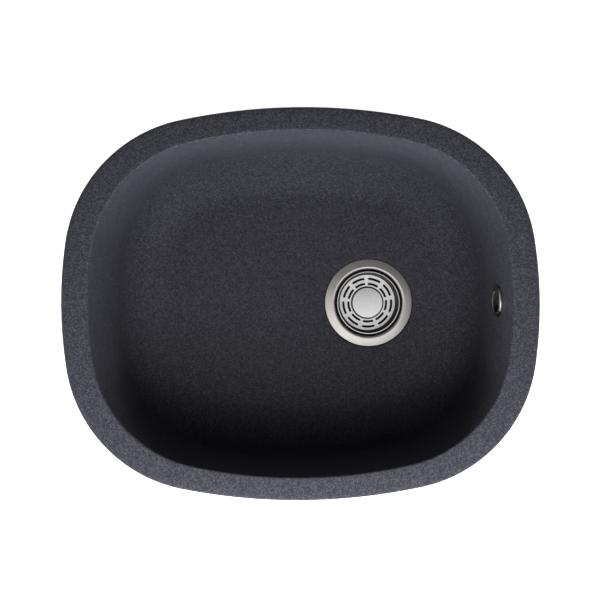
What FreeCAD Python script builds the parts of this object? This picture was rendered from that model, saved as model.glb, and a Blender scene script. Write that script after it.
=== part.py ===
"""Quartz composite kitchen sink with its basket strainer waste, overflow and fixing clips.

Millimetres. The origin is the centre of the rim's outline in the plane of its underside, where
the sink sits on the worktop. +Z is up, +X points to the drain and the overflow, +Y to the back.
"""

import FreeCAD, Part
import math
import os

import Sketcher

Vector = FreeCAD.Vector
Rotation = FreeCAD.Rotation
Placement = FreeCAD.Placement

SIZES = {
    # Rim outline from above: an oval of eight arcs.
    "outline_half_length": 280.0,
    "outline_half_width": 230.0,
    "outline_side_radius": 500.0,
    "outline_long_radius": 695.0,
    "outline_corner_radius": 170.0,
    # How far the bowl's mouth lies inside the outline, and how much tighter its arcs are.
    "rim_side_width": 31.5,
    "rim_long_width": 27.5,
    "mouth_side_ease": 75.0,
    "mouth_long_ease": 103.0,
    "mouth_corner_ease": 21.0,
    # How far the walls come in on their way down to the floor, and how much their arcs tighten.
    "side_draft": 26.5,
    "long_draft": 11.5,
    "floor_side_ease": 22.0,
    "floor_long_ease": 14.0,
    "floor_corner_ease": 22.0,
    "floor_fillet": 60.0,
    "rim_height": 9.0,
    "rim_edge_radius": 3.0,
    "mouth_edge_radius": 2.5,
    "bowl_depth": 190.0,
    "wall": 9.0,
    # Fall of the floor to the drain.
    "fall_inset": 55.0,
    "fall_drop": 3.0,
    # Seal groove under the rim.
    "seal_inset": 3.0,
    "seal_width": 5.0,
    "seal_height": 1.5,
    # Drain seat, set back from the foot of the right-hand wall.
    "drain_setback": 132.5,
    "seat_clearance": 1.0,
    "seat_depth": 2.0,
    "seat_edge_radius": 1.0,
    "drain_hole_clearance": 1.5,
    "drain_boss_radius": 65.0,
    "drain_boss_drop": 6.0,
    # Strainer cup, heights measured from the drain seat.
    "cup_sheet": 1.0,
    "flange_radius": 57.0,
    "flange_crest_radius": 47.5,
    "flange_edge_height": 1.4,
    "flange_crest_height": 3.4,
    "throat_radius": 43.5,
    "throat_rounding": 3.2,
    "cup_wall_depth": 40.0,
    "cup_depth": 52.0,
    "cup_bottom_radius": 31.0,
    "cup_bottom_rounding": 3.0,
    "cup_hole_circle": 20.5,
    "cup_hole_radius": 6.0,
    "cup_hole_count": 6.0,
    "flange_gasket_width": 9.0,
    # Waste body.
    "body_gasket_height": 3.0,
    "body_gasket_width": 10.0,
    "body_flange_reach": 9.0,
    "body_flange_height": 4.0,
    "body_inner_radius": 50.0,
    "body_wall": 3.0,
    "body_cone_depth": 54.0,
    "outlet_inner_radius": 20.9,
    "outlet_radius": 23.9,
    "outlet_top_depth": 78.0,
    "outlet_depth": 112.0,
    "hub_radius": 11.0,
    "hub_height": 18.0,
    "spoke_width": 3.5,
    "spoke_height": 12.0,
    "spoke_top_gap": 3.0,
    "spoke_count": 3.0,
    "insert_wall": 2.5,
    "insert_height": 14.0,
    "insert_cover": 1.5,
    "nozzle_depth": 39.0,
    "nozzle_collar_radius": 13.5,
    "nozzle_collar_reach": 58.0,
    "nozzle_reach": 80.0,
    # Waste screw.
    "screw_radius": 5.0,
    "screw_head_radius": 9.0,
    "screw_head_height": 4.0,
    "screw_socket_radius": 3.2,
    "screw_socket_depth": 11.0,
    "screw_hole_clearance": 0.3,
    # Basket.
    "basket_rim_radius": 41.2,
    "basket_rim_height": 2.2,
    "basket_rim_thickness": 1.4,
    "basket_sheet": 0.8,
    "basket_top_radius": 39.6,
    "basket_plate_radius": 37.6,
    "basket_plate_depth": 31.0,
    "basket_rounding": 4.0,
    "basket_hub_radius": 8.0,
    "slot_outer_circle": 32.0,
    "slot_inner_circle": 25.2,
    "slot_width": 3.0,
    "slot_arc": 26.0,
    "slot_count": 9.0,
    "slot_start": 112.0,
    # Knob and plug.
    "running_gap": 0.1,
    "knob_radius": 20.6,
    "knob_lift": 3.2,
    "knob_thickness": 2.4,
    "knob_neck_radius": 10.5,
    "knob_edge_radius": 0.9,
    "stem_top_radius": 7.9,
    "stem_top_height": 3.0,
    "plug_flange_radius": 24.0,
    "plug_flange_height": 3.0,
    "plug_waist_radius": 12.0,
    "plug_waist_top": 37.0,
    "plug_seal_top": 39.6,
    "plug_seal_height": 2.6,
    "plug_foot_radius": 16.0,
    "plug_foot_depth": 46.6,
    "seal_lip_radius": 39.0,
    "seal_lip_drop": 2.8,
    "seal_lip_thickness": 1.2,
    "seal_plate_radius": 30.0,
    "stem_tip_radius": 2.8,
    "stem_tip_depth": 56.0,
    "snap_ring_depth": 51.5,
    "snap_ring_wire": 0.45,
    "snap_groove_depth": 0.6,
    "snap_ring_sweep": 330.0,
    # Overflow, distances measured along the wall's normal from its inner face.
    "overflow_drop": 60.0,
    "overflow_hole_clearance": 0.4,
    "overflow_seat_clearance": 0.5,
    "overflow_seat_depth": 1.0,
    "rosette_radius": 18.5,
    "rosette_height": 4.0,
    "rosette_mouth_radius": 12.6,
    "rosette_edge_radius": 1.6,
    "sleeve_radius": 13.6,
    "sleeve_inner_radius": 12.0,
    "sleeve_length": 8.0,
    "rosette_spoke_width": 2.2,
    "rosette_spoke_back": 5.0,
    "rosette_spoke_front": 2.0,
    "rosette_hub_radius": 5.2,
    "rosette_spoke_count": 3.0,
    "overflow_boss_radius": 27.0,
    "overflow_boss_reach": 12.0,
    "elbow_gasket_height": 3.0,
    "elbow_flange_radius": 25.0,
    "elbow_flange_height": 4.0,
    "elbow_radius": 16.5,
    "elbow_wall": 2.5,
    "elbow_reach": 36.0,
    "elbow_post_radius": 4.5,
    "elbow_post_gap": 3.0,
    "elbow_pipe_reach": 26.0,
    "elbow_collar_radius": 12.0,
    "elbow_collar_drop": 24.0,
    "elbow_pipe_drop": 46.0,
    "spigot_radius": 9.5,
    "spigot_wall": 2.0,
    "overflow_screw_radius": 2.5,
    "overflow_screw_head_radius": 4.4,
    "overflow_screw_head_height": 2.6,
    "overflow_screw_length": 24.0,
    "overflow_screw_slot": 1.2,
    # Overflow hose and its clamps.
    "hose_radius": 11.75,
    "hose_bend_radius": 80.0,
    "hose_end_gap": 2.0,
    "clamp_band": 0.8,
    "clamp_width": 9.0,
    "clamp_setback": 9.0,
    "clamp_house_width": 9.0,
    "clamp_house_length": 13.0,
    "clamp_house_height": 7.0,
    "clamp_screw_radius": 2.2,
    "clamp_screw_head_radius": 3.4,
    "clamp_screw_head_height": 3.5,
    # Fixing clips.
    "clip_inset": 16.5,
    "clip_boss_radius": 6.0,
    "clip_boss_height": 24.0,
    "clip_boss_root": 14.0,
    "clip_insert_radius": 3.5,
    "clip_insert_depth": 14.0,
    "stud_radius": 2.5,
    "stud_end": 66.0,
    "nut_top": 52.0,
    "nut_flange_radius": 7.0,
    "nut_flange_height": 1.6,
    "nut_hub_radius": 4.4,
    "nut_hub_height": 7.0,
    "nut_wing_span": 23.0,
    "nut_wing_thickness": 2.0,
    "nut_wing_height": 9.0,
    "nut_wing_drop": 2.0,
    "nut_wing_root": 0.6,
    "thread_gap": 0.08,
    "arm_width": 12.0,
    "arm_thickness": 3.0,
    "arm_length": 34.0,
    "arm_toe_height": 10.0,
    "arm_toe_thickness": 3.0,
    "arm_tooth_depth": 2.5,
    "arm_tooth_count": 3.0,
    # How far a cut runs past what it cuts.
    "overrun": 2.0,
}

FORMULAS = {
    "mouth_half_length": "outline_half_length - rim_side_width",
    "mouth_half_width": "outline_half_width - rim_long_width",
    "mouth_side_radius": "outline_side_radius - mouth_side_ease",
    "mouth_long_radius": "outline_long_radius - mouth_long_ease",
    "mouth_corner_radius": "outline_corner_radius - mouth_corner_ease",
    "floor_half_length": "mouth_half_length - side_draft",
    "floor_half_width": "mouth_half_width - long_draft",
    "floor_side_radius": "mouth_side_radius - floor_side_ease",
    "floor_long_radius": "mouth_long_radius - floor_long_ease",
    "floor_corner_radius": "mouth_corner_radius - floor_corner_ease",
    "drain_x": "floor_half_length - drain_setback",
    "seat_radius": "flange_radius + seat_clearance",
    "drain_hole_radius": "throat_radius + cup_sheet + drain_hole_clearance",
    "overflow_hole_radius": "sleeve_radius + overflow_hole_clearance",
    "overflow_seat_radius": "rosette_radius + overflow_seat_clearance",
    "body_gasket_radius": "body_inner_radius + body_gasket_width",
    "body_flange_radius": "body_inner_radius + body_wall + body_flange_reach",
    "insert_radius": "screw_radius + insert_wall",
}

CORNER_ANGLE = 45.0
CLIP_NAMES = ("back_right", "back_left", "front_left", "front_right")
COARSE = 1e-4
CLOSE = 0.01
LOOSE = 0.05


class Size:
    """A number together with the sheet expression that gives it."""

    def __init__(self, value, text):
        self.value = float(value)
        self.text = text

    @staticmethod
    def of(other):
        """A plain number as a size of its own."""
        return other if isinstance(other, Size) else Size(other, repr(float(other)))

    def __add__(self, other):
        other = Size.of(other)
        return Size(self.value + other.value, f"({self.text} + {other.text})")

    def __sub__(self, other):
        other = Size.of(other)
        return Size(self.value - other.value, f"({self.text} - {other.text})")

    def __mul__(self, other):
        other = Size.of(other)
        return Size(self.value * other.value, f"({self.text} * {other.text})")

    def __truediv__(self, other):
        other = Size.of(other)
        return Size(self.value / other.value, f"({self.text} / {other.text})")

    def __neg__(self):
        return Size(-self.value, f"(0 - {self.text})")


class Sheet:
    """The driving dimensions: every alias is an attribute that returns a Size."""

    def __init__(self, doc, values, formulas):
        self.table = doc.addObject("Spreadsheet::Sheet", "Sizes")
        cells = {alias: repr(value) for alias, value in values.items()}
        cells.update({alias: f"={formula}" for alias, formula in formulas.items()})
        for row, (alias, content) in enumerate(cells.items(), start=1):
            self.table.set(f"A{row}", alias)
            self.table.set(f"B{row}", content)
            self.table.setAlias(f"B{row}", alias)
        doc.recompute()
        self.values = {alias: float(self.table.get(alias)) for alias in cells}

    def __getattr__(self, alias):
        return Size(self.values[alias], f"Sizes.{alias}")


doc = FreeCAD.newDocument("KitchenSink")
z = Sheet(doc, SIZES, FORMULAS)
parts = {}


def new_body(label):
    """An empty body; its label is the name of its file."""
    body = doc.addObject("PartDesign::Body", label)
    body.Label = label
    parts[label] = body
    return body


def origin_plane(body, role):
    """One of the three origin planes of a body."""
    return next(item for item in body.Origin.OriginFeatures if item.Role == role)


def new_sketch(body, name, plane="XY_Plane", height=0.0, offset=None):
    """A sketch on an origin plane, lifted off it by a height or moved by a whole offset."""
    sketch = body.newObject("Sketcher::SketchObject", name)
    sketch.AttachmentSupport = [(origin_plane(body, plane), "")]
    sketch.MapMode = "FlatFace"
    height = Size.of(height)
    if offset is not None:
        sketch.AttachmentOffset = offset
    elif height.value:
        sketch.AttachmentOffset = Placement(Vector(0, 0, height.value), Rotation())
        sketch.setExpression("AttachmentOffset.Base.z", height.text)
    return sketch


def bind(item, prop, size):
    """Set a property and let the sheet drive it."""
    size = Size.of(size)
    setattr(item, prop, size.value)
    item.setExpression(prop, size.text)


def hold(sketch, *constraint):
    """Add a constraint; a size at the end is driven by the sheet."""
    size = constraint[-1]
    if isinstance(size, Size):
        index = sketch.addConstraint(Sketcher.Constraint(*constraint[:-1], size.value))
        sketch.setExpression(f"Constraints[{index}]", size.text)
    else:
        sketch.addConstraint(Sketcher.Constraint(*constraint))


def place_point(sketch, geometry, end, x, y):
    """Hold one point of the outline at sheet-driven distances from the origin."""
    for size, kind, axis in ((Size.of(x), "DistanceX", -2), (Size.of(y), "DistanceY", -1)):
        if abs(size.value) < COARSE:
            hold(sketch, "PointOnObject", geometry, end, axis)
        else:
            hold(sketch, kind, -1, 1, geometry, end, size)


def polygon(sketch, corners):
    """Closed outline of straight edges through the given corners."""
    points = [Vector(Size.of(x).value, Size.of(y).value, 0) for x, y in corners]
    first = sketch.GeometryCount
    count = len(points)
    for index, point in enumerate(points):
        sketch.addGeometry(Part.LineSegment(point, points[(index + 1) % count]), False)
    for index in range(count):
        following = first + (index + 1) % count
        sketch.addConstraint(Sketcher.Constraint("Coincident", first + index, 2, following, 1))
    for index, (x, y) in enumerate(corners):
        place_point(sketch, first + index, 1, x, y)


def rectangle(sketch, x, y, length, width):
    """Upright rectangle around a centre."""
    x, y = Size.of(x), Size.of(y)
    half_x, half_y = Size.of(length) / 2, Size.of(width) / 2
    left, right, low, high = x - half_x, x + half_x, y - half_y, y + half_y
    polygon(sketch, [(left, low), (right, low), (right, high), (left, high)])


def circle(sketch, x, y, radius):
    """Circle held by its centre and radius."""
    x, y, radius = Size.of(x), Size.of(y), Size.of(radius)
    index = sketch.addGeometry(
        Part.Circle(Vector(x.value, y.value, 0), Vector(0, 0, 1), radius.value), False
    )
    hold(sketch, "Radius", index, radius)
    place_point(sketch, index, 3, x, y)
    return index


class Oval:
    """Half length, half width and the three arc radii of an eight-arc oval."""

    def __init__(self, name, grow=0.0):
        grow = Size.of(grow)
        self.length = getattr(z, f"{name}_half_length") + grow
        self.width = getattr(z, f"{name}_half_width") + grow
        self.side = getattr(z, f"{name}_side_radius") + grow
        self.long = getattr(z, f"{name}_long_radius") + grow
        self.corner = getattr(z, f"{name}_corner_radius") + grow

    def corner_centre(self):
        """Centre of the first quadrant's corner arc, tangent to both its neighbours."""
        side_centre = Vector(self.length.value - self.side.value, 0, 0)
        long_centre = Vector(0, self.width.value - self.long.value, 0)
        span = (long_centre - side_centre).Length
        near = self.side.value - self.corner.value
        far = self.long.value - self.corner.value
        along = (near * near - far * far + span * span) / (2 * span)
        across = math.sqrt(near * near - along * along)
        unit = (long_centre - side_centre) * (1 / span)
        turned = Vector(unit.y, -unit.x, 0)
        options = [side_centre + unit * along + turned * across * way for way in (1, -1)]
        return max(options, key=lambda point: point.x + point.y)

    def arcs(self):
        """Centre, radius, start and end angle of the eight arcs, counterclockwise."""
        corner = self.corner_centre()
        side = Vector(self.length.value - self.side.value, 0, 0)
        long = Vector(0, self.width.value - self.long.value, 0)
        low = math.atan2(corner.y - side.y, corner.x - side.x)
        high = math.atan2(corner.y - long.y, corner.x - long.x)
        half = math.pi
        rows = []
        for turn in (0, 1):
            sign = -1 if turn else 1
            base = half * turn
            rows.append((side * sign, self.side, base - low, base + low))
            rows.append((corner * sign, self.corner, base + low, base + high))
            rows.append((long * sign, self.long, base + high, base + half - high))
            mirrored = Vector(-corner.x, corner.y, 0) * sign
            rows.append((mirrored, self.corner, base + half - high, base + half - low))
        return rows


def oval(sketch, shape):
    """Draw an oval: tangent arcs, centres on the axes, reach and radii from the sheet."""
    first = sketch.GeometryCount
    for centre, radius, start, end in shape.arcs():
        arc = Part.ArcOfCircle(Part.Circle(centre, Vector(0, 0, 1), radius.value), start, end)
        sketch.addGeometry(arc, False)
    for index in range(8):
        following = first + (index + 1) % 8
        sketch.addConstraint(Sketcher.Constraint("Tangent", first + index, 2, following, 1))
    for index, radius in enumerate((shape.side, shape.corner, shape.long, shape.corner) * 2):
        hold(sketch, "Radius", first + index, radius)
    for index in (0, 4):
        hold(sketch, "PointOnObject", first + index, 3, -1)
    for index in (2, 6):
        hold(sketch, "PointOnObject", first + index, 3, -2)
    hold(sketch, "DistanceX", -1, 1, first, 3, shape.length - shape.side)
    hold(sketch, "DistanceX", -1, 1, first + 4, 3, shape.side - shape.length)
    hold(sketch, "DistanceY", -1, 1, first + 2, 3, shape.width - shape.long)
    hold(sketch, "DistanceY", -1, 1, first + 6, 3, shape.long - shape.width)


def pad(body, name, sketch, length, reverse=False):
    """Raise a sketch by a length."""
    feature = body.newObject("PartDesign::Pad", name)
    feature.Profile = sketch
    bind(feature, "Length", length)
    feature.Reversed = reverse
    sketch.Visibility = False
    doc.recompute()
    return feature


def pocket(body, name, sketch, length=None, reverse=False):
    """Sink a sketch by a length, or right through."""
    feature = body.newObject("PartDesign::Pocket", name)
    feature.Profile = sketch
    if length is None:
        feature.Type = "ThroughAll"
    else:
        bind(feature, "Length", length)
    feature.Reversed = reverse
    sketch.Visibility = False
    doc.recompute()
    return feature


def revolve(body, name, corners, plane="XZ_Plane", axis="V_Axis"):
    """Turn a profile of (radius, height) corners once around the vertical sketch axis."""
    sketch = new_sketch(body, f"{name}_profile", plane)
    polygon(sketch, corners)
    feature = body.newObject("PartDesign::Revolution", name)
    feature.Profile = sketch
    feature.ReferenceAxis = (sketch, [axis])
    feature.Angle = 360.0
    sketch.Visibility = False
    doc.recompute()
    return feature


def groove(body, name, corners, plane="XZ_Plane", axis="V_Axis"):
    """Cut a turned profile of (radius, height) corners."""
    sketch = new_sketch(body, f"{name}_profile", plane)
    polygon(sketch, corners)
    feature = body.newObject("PartDesign::Groove", name)
    feature.Profile = sketch
    feature.ReferenceAxis = (sketch, [axis])
    feature.Angle = 360.0
    sketch.Visibility = False
    doc.recompute()
    return feature


def loft(body, name, kind, sketches):
    """Blend a row of sketches, adding or cutting."""
    feature = body.newObject(f"PartDesign::{kind}Loft", name)
    feature.Profile = sketches[0]
    feature.Sections = sketches[1:]
    feature.Ruled = False
    for sketch in sketches:
        sketch.Visibility = False
    doc.recompute()
    return feature


def polar(body, name, features, count, axis="Z_Axis"):
    """Repeat features around an origin axis."""
    pattern = body.newObject("PartDesign::PolarPattern", name)
    pattern.Originals = features
    pattern.Axis = (origin_plane(body, axis), [""])
    pattern.Angle = 360.0
    count = Size.of(count)
    pattern.Occurrences = int(count.value)
    pattern.setExpression("Occurrences", count.text)
    body.Tip = pattern
    doc.recompute()
    return pattern


def edge_names(shape, wanted):
    """Names of the edges that a test accepts."""
    return [f"Edge{number}" for number, edge in enumerate(shape.Edges, start=1) if wanted(edge)]


def fillet(body, name, wanted, radius):
    """Round the edges that a test accepts."""
    base = body.Tip
    names = edge_names(base.Shape, wanted)
    feature = body.newObject("PartDesign::Fillet", name)
    feature.Base = (base, names)
    bind(feature, "Radius", radius)
    doc.recompute()
    return feature


def is_ring(radius, height, direction=2):
    """Test for a full circle of a radius at a height along one axis of the body."""
    radius, height = Size.of(radius).value, Size.of(height).value

    def test(edge):
        curve = None if edge.Degenerated else edge.Curve
        if not isinstance(curve, Part.Circle):
            return False
        close = abs(curve.Radius - radius) < CLOSE
        return close and abs(curve.Center[direction] - height) < CLOSE

    return test


def in_band(low, high):
    """Test for an edge that lies wholly between two heights."""
    low, high = Size.of(low).value, Size.of(high).value
    return lambda edge: edge.BoundBox.ZMin > low and edge.BoundBox.ZMax < high


def either(*tests):
    """Test that passes when any of the given ones does."""
    return lambda edge: any(test(edge) for test in tests)


# Places that several sub-parts share.
floor_height = z.rim_height - z.bowl_depth
seat_height = floor_height - z.fall_drop - z.seat_depth
under_floor = floor_height - z.wall
boss_face = under_floor - z.drain_boss_drop
boss_drop = seat_height - boss_face
lean = math.degrees(
    math.atan2(z.mouth_half_length.value - z.floor_half_length.value, z.bowl_depth.value)
)
overflow_share = z.overflow_drop.value / z.bowl_depth.value
overflow_x = z.mouth_half_length.value - overflow_share * (
    z.mouth_half_length.value - z.floor_half_length.value
)
overflow_z = z.rim_height.value - z.overflow_drop.value
WASTE = Placement(Vector(z.drain_x.value, 0, seat_height.value), Rotation())
OVERFLOW = Placement(Vector(overflow_x, 0, overflow_z), Rotation(Vector(0, 1, 0), lean))


def place_waste(body):
    """Stand a body on the drain axis with its origin in the plane of the drain seat."""
    body.Placement = WASTE
    body.setExpression("Placement.Base.x", z.drain_x.text)
    body.setExpression("Placement.Base.z", seat_height.text)


def clip_sites():
    """Placement of each clip: origin on its stud, local +X straight out of the outline."""
    outline = Oval("outline")
    corner = outline.corner_centre()
    reach = outline.corner.value - z.clip_inset.value
    angle = math.radians(CORNER_ANGLE)
    x = corner.x + reach * math.cos(angle)
    y = corner.y + reach * math.sin(angle)
    turns = (CORNER_ANGLE, 180 - CORNER_ANGLE, 180 + CORNER_ANGLE, 360 - CORNER_ANGLE)
    signs = ((1, 1), (-1, 1), (-1, -1), (1, -1))
    return [
        Placement(Vector(x * sx, y * sy, 0), Rotation(Vector(0, 0, 1), turn))
        for (sx, sy), turn in zip(signs, turns)
    ]


CLIPS = clip_sites()


def overflow_sketch(body, name, distance):
    """Sketch square to the overflow's axis at a distance outward from the wall's face."""
    centre = OVERFLOW.multVec(Vector(Size.of(distance).value, 0, 0))
    offset = Placement(Vector(0, centre.z, centre.x), Rotation(Vector(1, 0, 0), lean))
    return new_sketch(body, name, "YZ_Plane", offset=offset)


def build_bowl():
    """The casting: rim, drafted walls, rounded floor with a fall, seats and bosses."""
    body = new_body("bowl")
    rim = new_sketch(body, "rim_outline")
    oval(rim, Oval("outline"))
    pad(body, "rim", rim, z.rim_height)

    outer_top = new_sketch(body, "shell_top")
    oval(outer_top, Oval("mouth", z.wall))
    outer_foot = new_sketch(body, "shell_foot", height=under_floor)
    oval(outer_foot, Oval("floor", z.wall))
    loft(body, "shell", "Additive", [outer_top, outer_foot])
    mouth = new_sketch(body, "mouth_outline", height=z.rim_height)
    oval(mouth, Oval("mouth"))
    foot = new_sketch(body, "floor_outline", height=floor_height)
    oval(foot, Oval("floor"))
    loft(body, "basin", "Subtractive", [mouth, foot])
    fillet(body, "basin_rounding", basin_foot, z.floor_fillet)
    fillet(
        body,
        "shell_rounding",
        in_band(under_floor - z.wall / 3, under_floor + z.wall / 3),
        z.floor_fillet + z.wall,
    )

    boss = new_sketch(body, "drain_boss_outline", height=boss_face)
    circle(boss, z.drain_x, 0, z.drain_boss_radius)
    pad(body, "drain_boss", boss, z.drain_boss_drop + z.wall / 2)

    pad_start = z.overflow_boss_reach - z.wall / 2
    patch = overflow_sketch(body, "overflow_boss_outline", pad_start)
    circle(patch, 0, 0, z.overflow_boss_radius)
    pad(body, "overflow_boss", patch, z.wall / 2)

    for name, site in zip(CLIP_NAMES, CLIPS):
        lug = new_sketch(body, f"clip_boss_{name}_outline", offset=site)
        half = z.clip_boss_radius
        root = -z.clip_boss_root
        tongue(lug, root, half)
        pad(body, f"clip_boss_{name}", lug, z.clip_boss_height, reverse=True)

    fall_edge = new_sketch(body, "fall_edge", height=floor_height)
    oval(fall_edge, Oval("floor", -z.fall_inset))
    fall_foot = new_sketch(body, "fall_foot", height=floor_height - z.fall_drop)
    circle(fall_foot, z.drain_x, 0, z.seat_radius)
    loft(body, "fall", "Subtractive", [fall_edge, fall_foot])

    seat = new_sketch(body, "seat_outline", height=floor_height - z.fall_drop)
    circle(seat, z.drain_x, 0, z.seat_radius)
    pocket(body, "seat", seat, z.seat_depth)
    hole = new_sketch(body, "drain_hole_outline", height=seat_height)
    circle(hole, z.drain_x, 0, z.drain_hole_radius)
    pocket(body, "drain_hole", hole)

    front_seat = overflow_sketch(body, "overflow_seat_outline", z.overflow_seat_depth)
    circle(front_seat, 0, 0, z.overflow_seat_radius)
    pocket(body, "overflow_seat", front_seat, z.overflow_seat_depth + z.overrun)
    bore = overflow_sketch(body, "overflow_bore_outline", -z.overrun)
    circle(bore, 0, 0, z.overflow_hole_radius)
    pocket(body, "overflow_bore", bore, z.overflow_boss_reach + z.overrun * 2, reverse=True)

    for name, site in zip(CLIP_NAMES, CLIPS):
        bottom = Placement(site.Base - Vector(0, 0, z.clip_boss_height.value), site.Rotation)
        bore = new_sketch(body, f"clip_bore_{name}_outline", offset=bottom)
        circle(bore, 0, 0, z.clip_insert_radius)
        pocket(body, f"clip_bore_{name}", bore, z.clip_insert_depth, reverse=True)

    ring = new_sketch(body, "seal_groove_outline")
    oval(ring, Oval("outline", -z.seal_inset))
    oval(ring, Oval("outline", -(z.seal_inset + z.seal_width)))
    pocket(body, "seal_groove", ring, z.seal_height, reverse=True)

    fillet(body, "rim_edge", rim_outer_edge, z.rim_edge_radius)
    fillet(body, "mouth_edge", mouth_edge, z.mouth_edge_radius)
    fillet(
        body,
        "seat_edge",
        is_ring(z.seat_radius, floor_height - z.fall_drop),
        z.seat_edge_radius,
    )
    return body


def tongue(sketch, root, half):
    """Outline of a lug: straight sides from the wall and a round outer end."""
    reach = half.value
    back = root.value
    corners = [Vector(0, -reach, 0), Vector(back, -reach, 0), Vector(back, reach, 0)]
    corners.append(Vector(0, reach, 0))
    for start, end in zip(corners, corners[1:]):
        sketch.addGeometry(Part.LineSegment(start, end), False)
    arc = Part.ArcOfCircle(
        Part.Circle(Vector(), Vector(0, 0, 1), reach), -math.pi / 2, math.pi / 2
    )
    sketch.addGeometry(arc, False)
    for index in range(2):
        sketch.addConstraint(Sketcher.Constraint("Coincident", index, 2, index + 1, 1))
    sketch.addConstraint(Sketcher.Constraint("Tangent", 2, 2, 3, 2))
    sketch.addConstraint(Sketcher.Constraint("Tangent", 0, 1, 3, 1))
    sketch.addConstraint(Sketcher.Constraint("Coincident", 3, 3, -1, 1))
    hold(sketch, "Horizontal", 0)
    hold(sketch, "Vertical", 1)
    hold(sketch, "Radius", 3, half)
    hold(sketch, "DistanceX", -1, 1, 1, 1, root)


def basin_foot(edge):
    """The basin's sharp foot: edges in the floor's plane that are not the seat or a boss."""
    height = floor_height.value
    box = edge.BoundBox
    return abs(box.ZMin - height) < LOOSE and abs(box.ZMax - height) < LOOSE


def on_rim_top(edge):
    """True for an edge in the plane of the rim's top."""
    return edge.BoundBox.ZMin > z.rim_height.value - LOOSE


def rim_outer_edge(edge):
    """Edges of the rim's outline in its top face."""
    return on_rim_top(edge) and not inside_rim(edge)


def mouth_edge(edge):
    """Edges of the mouth in the rim's top face."""
    return on_rim_top(edge) and inside_rim(edge)


def inside_rim(edge):
    """True when the edge's midpoint is nearer to the mouth than to the outline."""
    middle = edge.valueAt((edge.FirstParameter + edge.LastParameter) / 2)
    mouth = gauge(middle, z.mouth_half_length.value, z.mouth_half_width.value)
    outline = gauge(middle, z.outline_half_length.value, z.outline_half_width.value)
    return abs(mouth - 1) < abs(outline - 1)


def gauge(point, half_length, half_width):
    """Size of a point against an oval: about one on it."""
    power = 2.75
    total = abs(point.x / half_length) ** power + abs(point.y / half_width) ** power
    return total ** (1 / power)


def build_rim_seal():
    """Foam strip in the groove under the rim."""
    body = new_body("rim_seal")
    ring = new_sketch(body, "strip_outline")
    oval(ring, Oval("outline", -z.seal_inset))
    oval(ring, Oval("outline", -(z.seal_inset + z.seal_width)))
    pad(body, "strip", ring, z.seal_height)


def build_strainer_cup():
    """Pressed cup: domed flange, throat, wall, sealing cone and drained bottom."""
    body = new_body("strainer_cup")
    sheet = z.cup_sheet
    bottom = -z.cup_depth
    revolve(
        body,
        "sheet",
        [
            (0, bottom),
            (z.cup_bottom_radius, bottom),
            (z.throat_radius, -z.cup_wall_depth),
            (z.throat_radius, z.flange_crest_height),
            (z.flange_crest_radius, z.flange_crest_height),
            (z.flange_radius, z.flange_edge_height),
            (z.flange_radius, z.flange_edge_height - sheet),
            (z.flange_crest_radius, z.flange_crest_height - sheet),
            (z.throat_radius + sheet, z.flange_crest_height - sheet),
            (z.throat_radius + sheet, -z.cup_wall_depth),
            (z.cup_bottom_radius + sheet / 2, bottom - sheet),
            (0, bottom - sheet),
        ],
    )
    fillet(
        body,
        "throat_edge",
        is_ring(z.throat_radius, z.flange_crest_height),
        z.throat_rounding,
    )
    fillet(
        body,
        "crest_edge",
        is_ring(z.flange_crest_radius, z.flange_crest_height),
        z.throat_rounding,
    )
    fillet(
        body,
        "bottom_edge",
        either(is_ring(z.cup_bottom_radius, bottom), is_ring(z.throat_radius, -z.cup_wall_depth)),
        z.cup_bottom_rounding,
    )
    hole = new_sketch(body, "drain_outline", height=bottom)
    circle(hole, z.cup_hole_circle, 0, z.cup_hole_radius)
    drain = pocket(body, "drain", hole)
    polar(body, "drains", [drain], z.cup_hole_count)
    centre = new_sketch(body, "screw_hole_outline", height=bottom)
    circle(centre, 0, 0, z.screw_radius + z.screw_hole_clearance)
    pocket(body, "screw_hole", centre)
    place_waste(body)


def build_flange_gasket():
    """Rubber ring moulded to the underside of the flange."""
    body = new_body("flange_gasket")
    inner = z.flange_crest_radius
    outer = inner + z.flange_gasket_width
    fall = (z.flange_crest_height - z.flange_edge_height) / (z.flange_radius - inner)
    crest = z.flange_crest_height - z.cup_sheet
    revolve(
        body,
        "ring",
        [(inner, 0), (outer, 0), (outer, crest - fall * z.flange_gasket_width), (inner, crest)],
    )
    place_waste(body)


def build_body_gasket():
    """Flat rubber ring between the bowl's underside and the waste body."""
    body = new_body("body_gasket")
    top = -boss_drop
    low = top - z.body_gasket_height
    revolve(
        body,
        "ring",
        [
            (z.body_inner_radius, low),
            (z.body_gasket_radius, low),
            (z.body_gasket_radius, top),
            (z.body_inner_radius, top),
        ],
    )
    place_waste(body)


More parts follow.
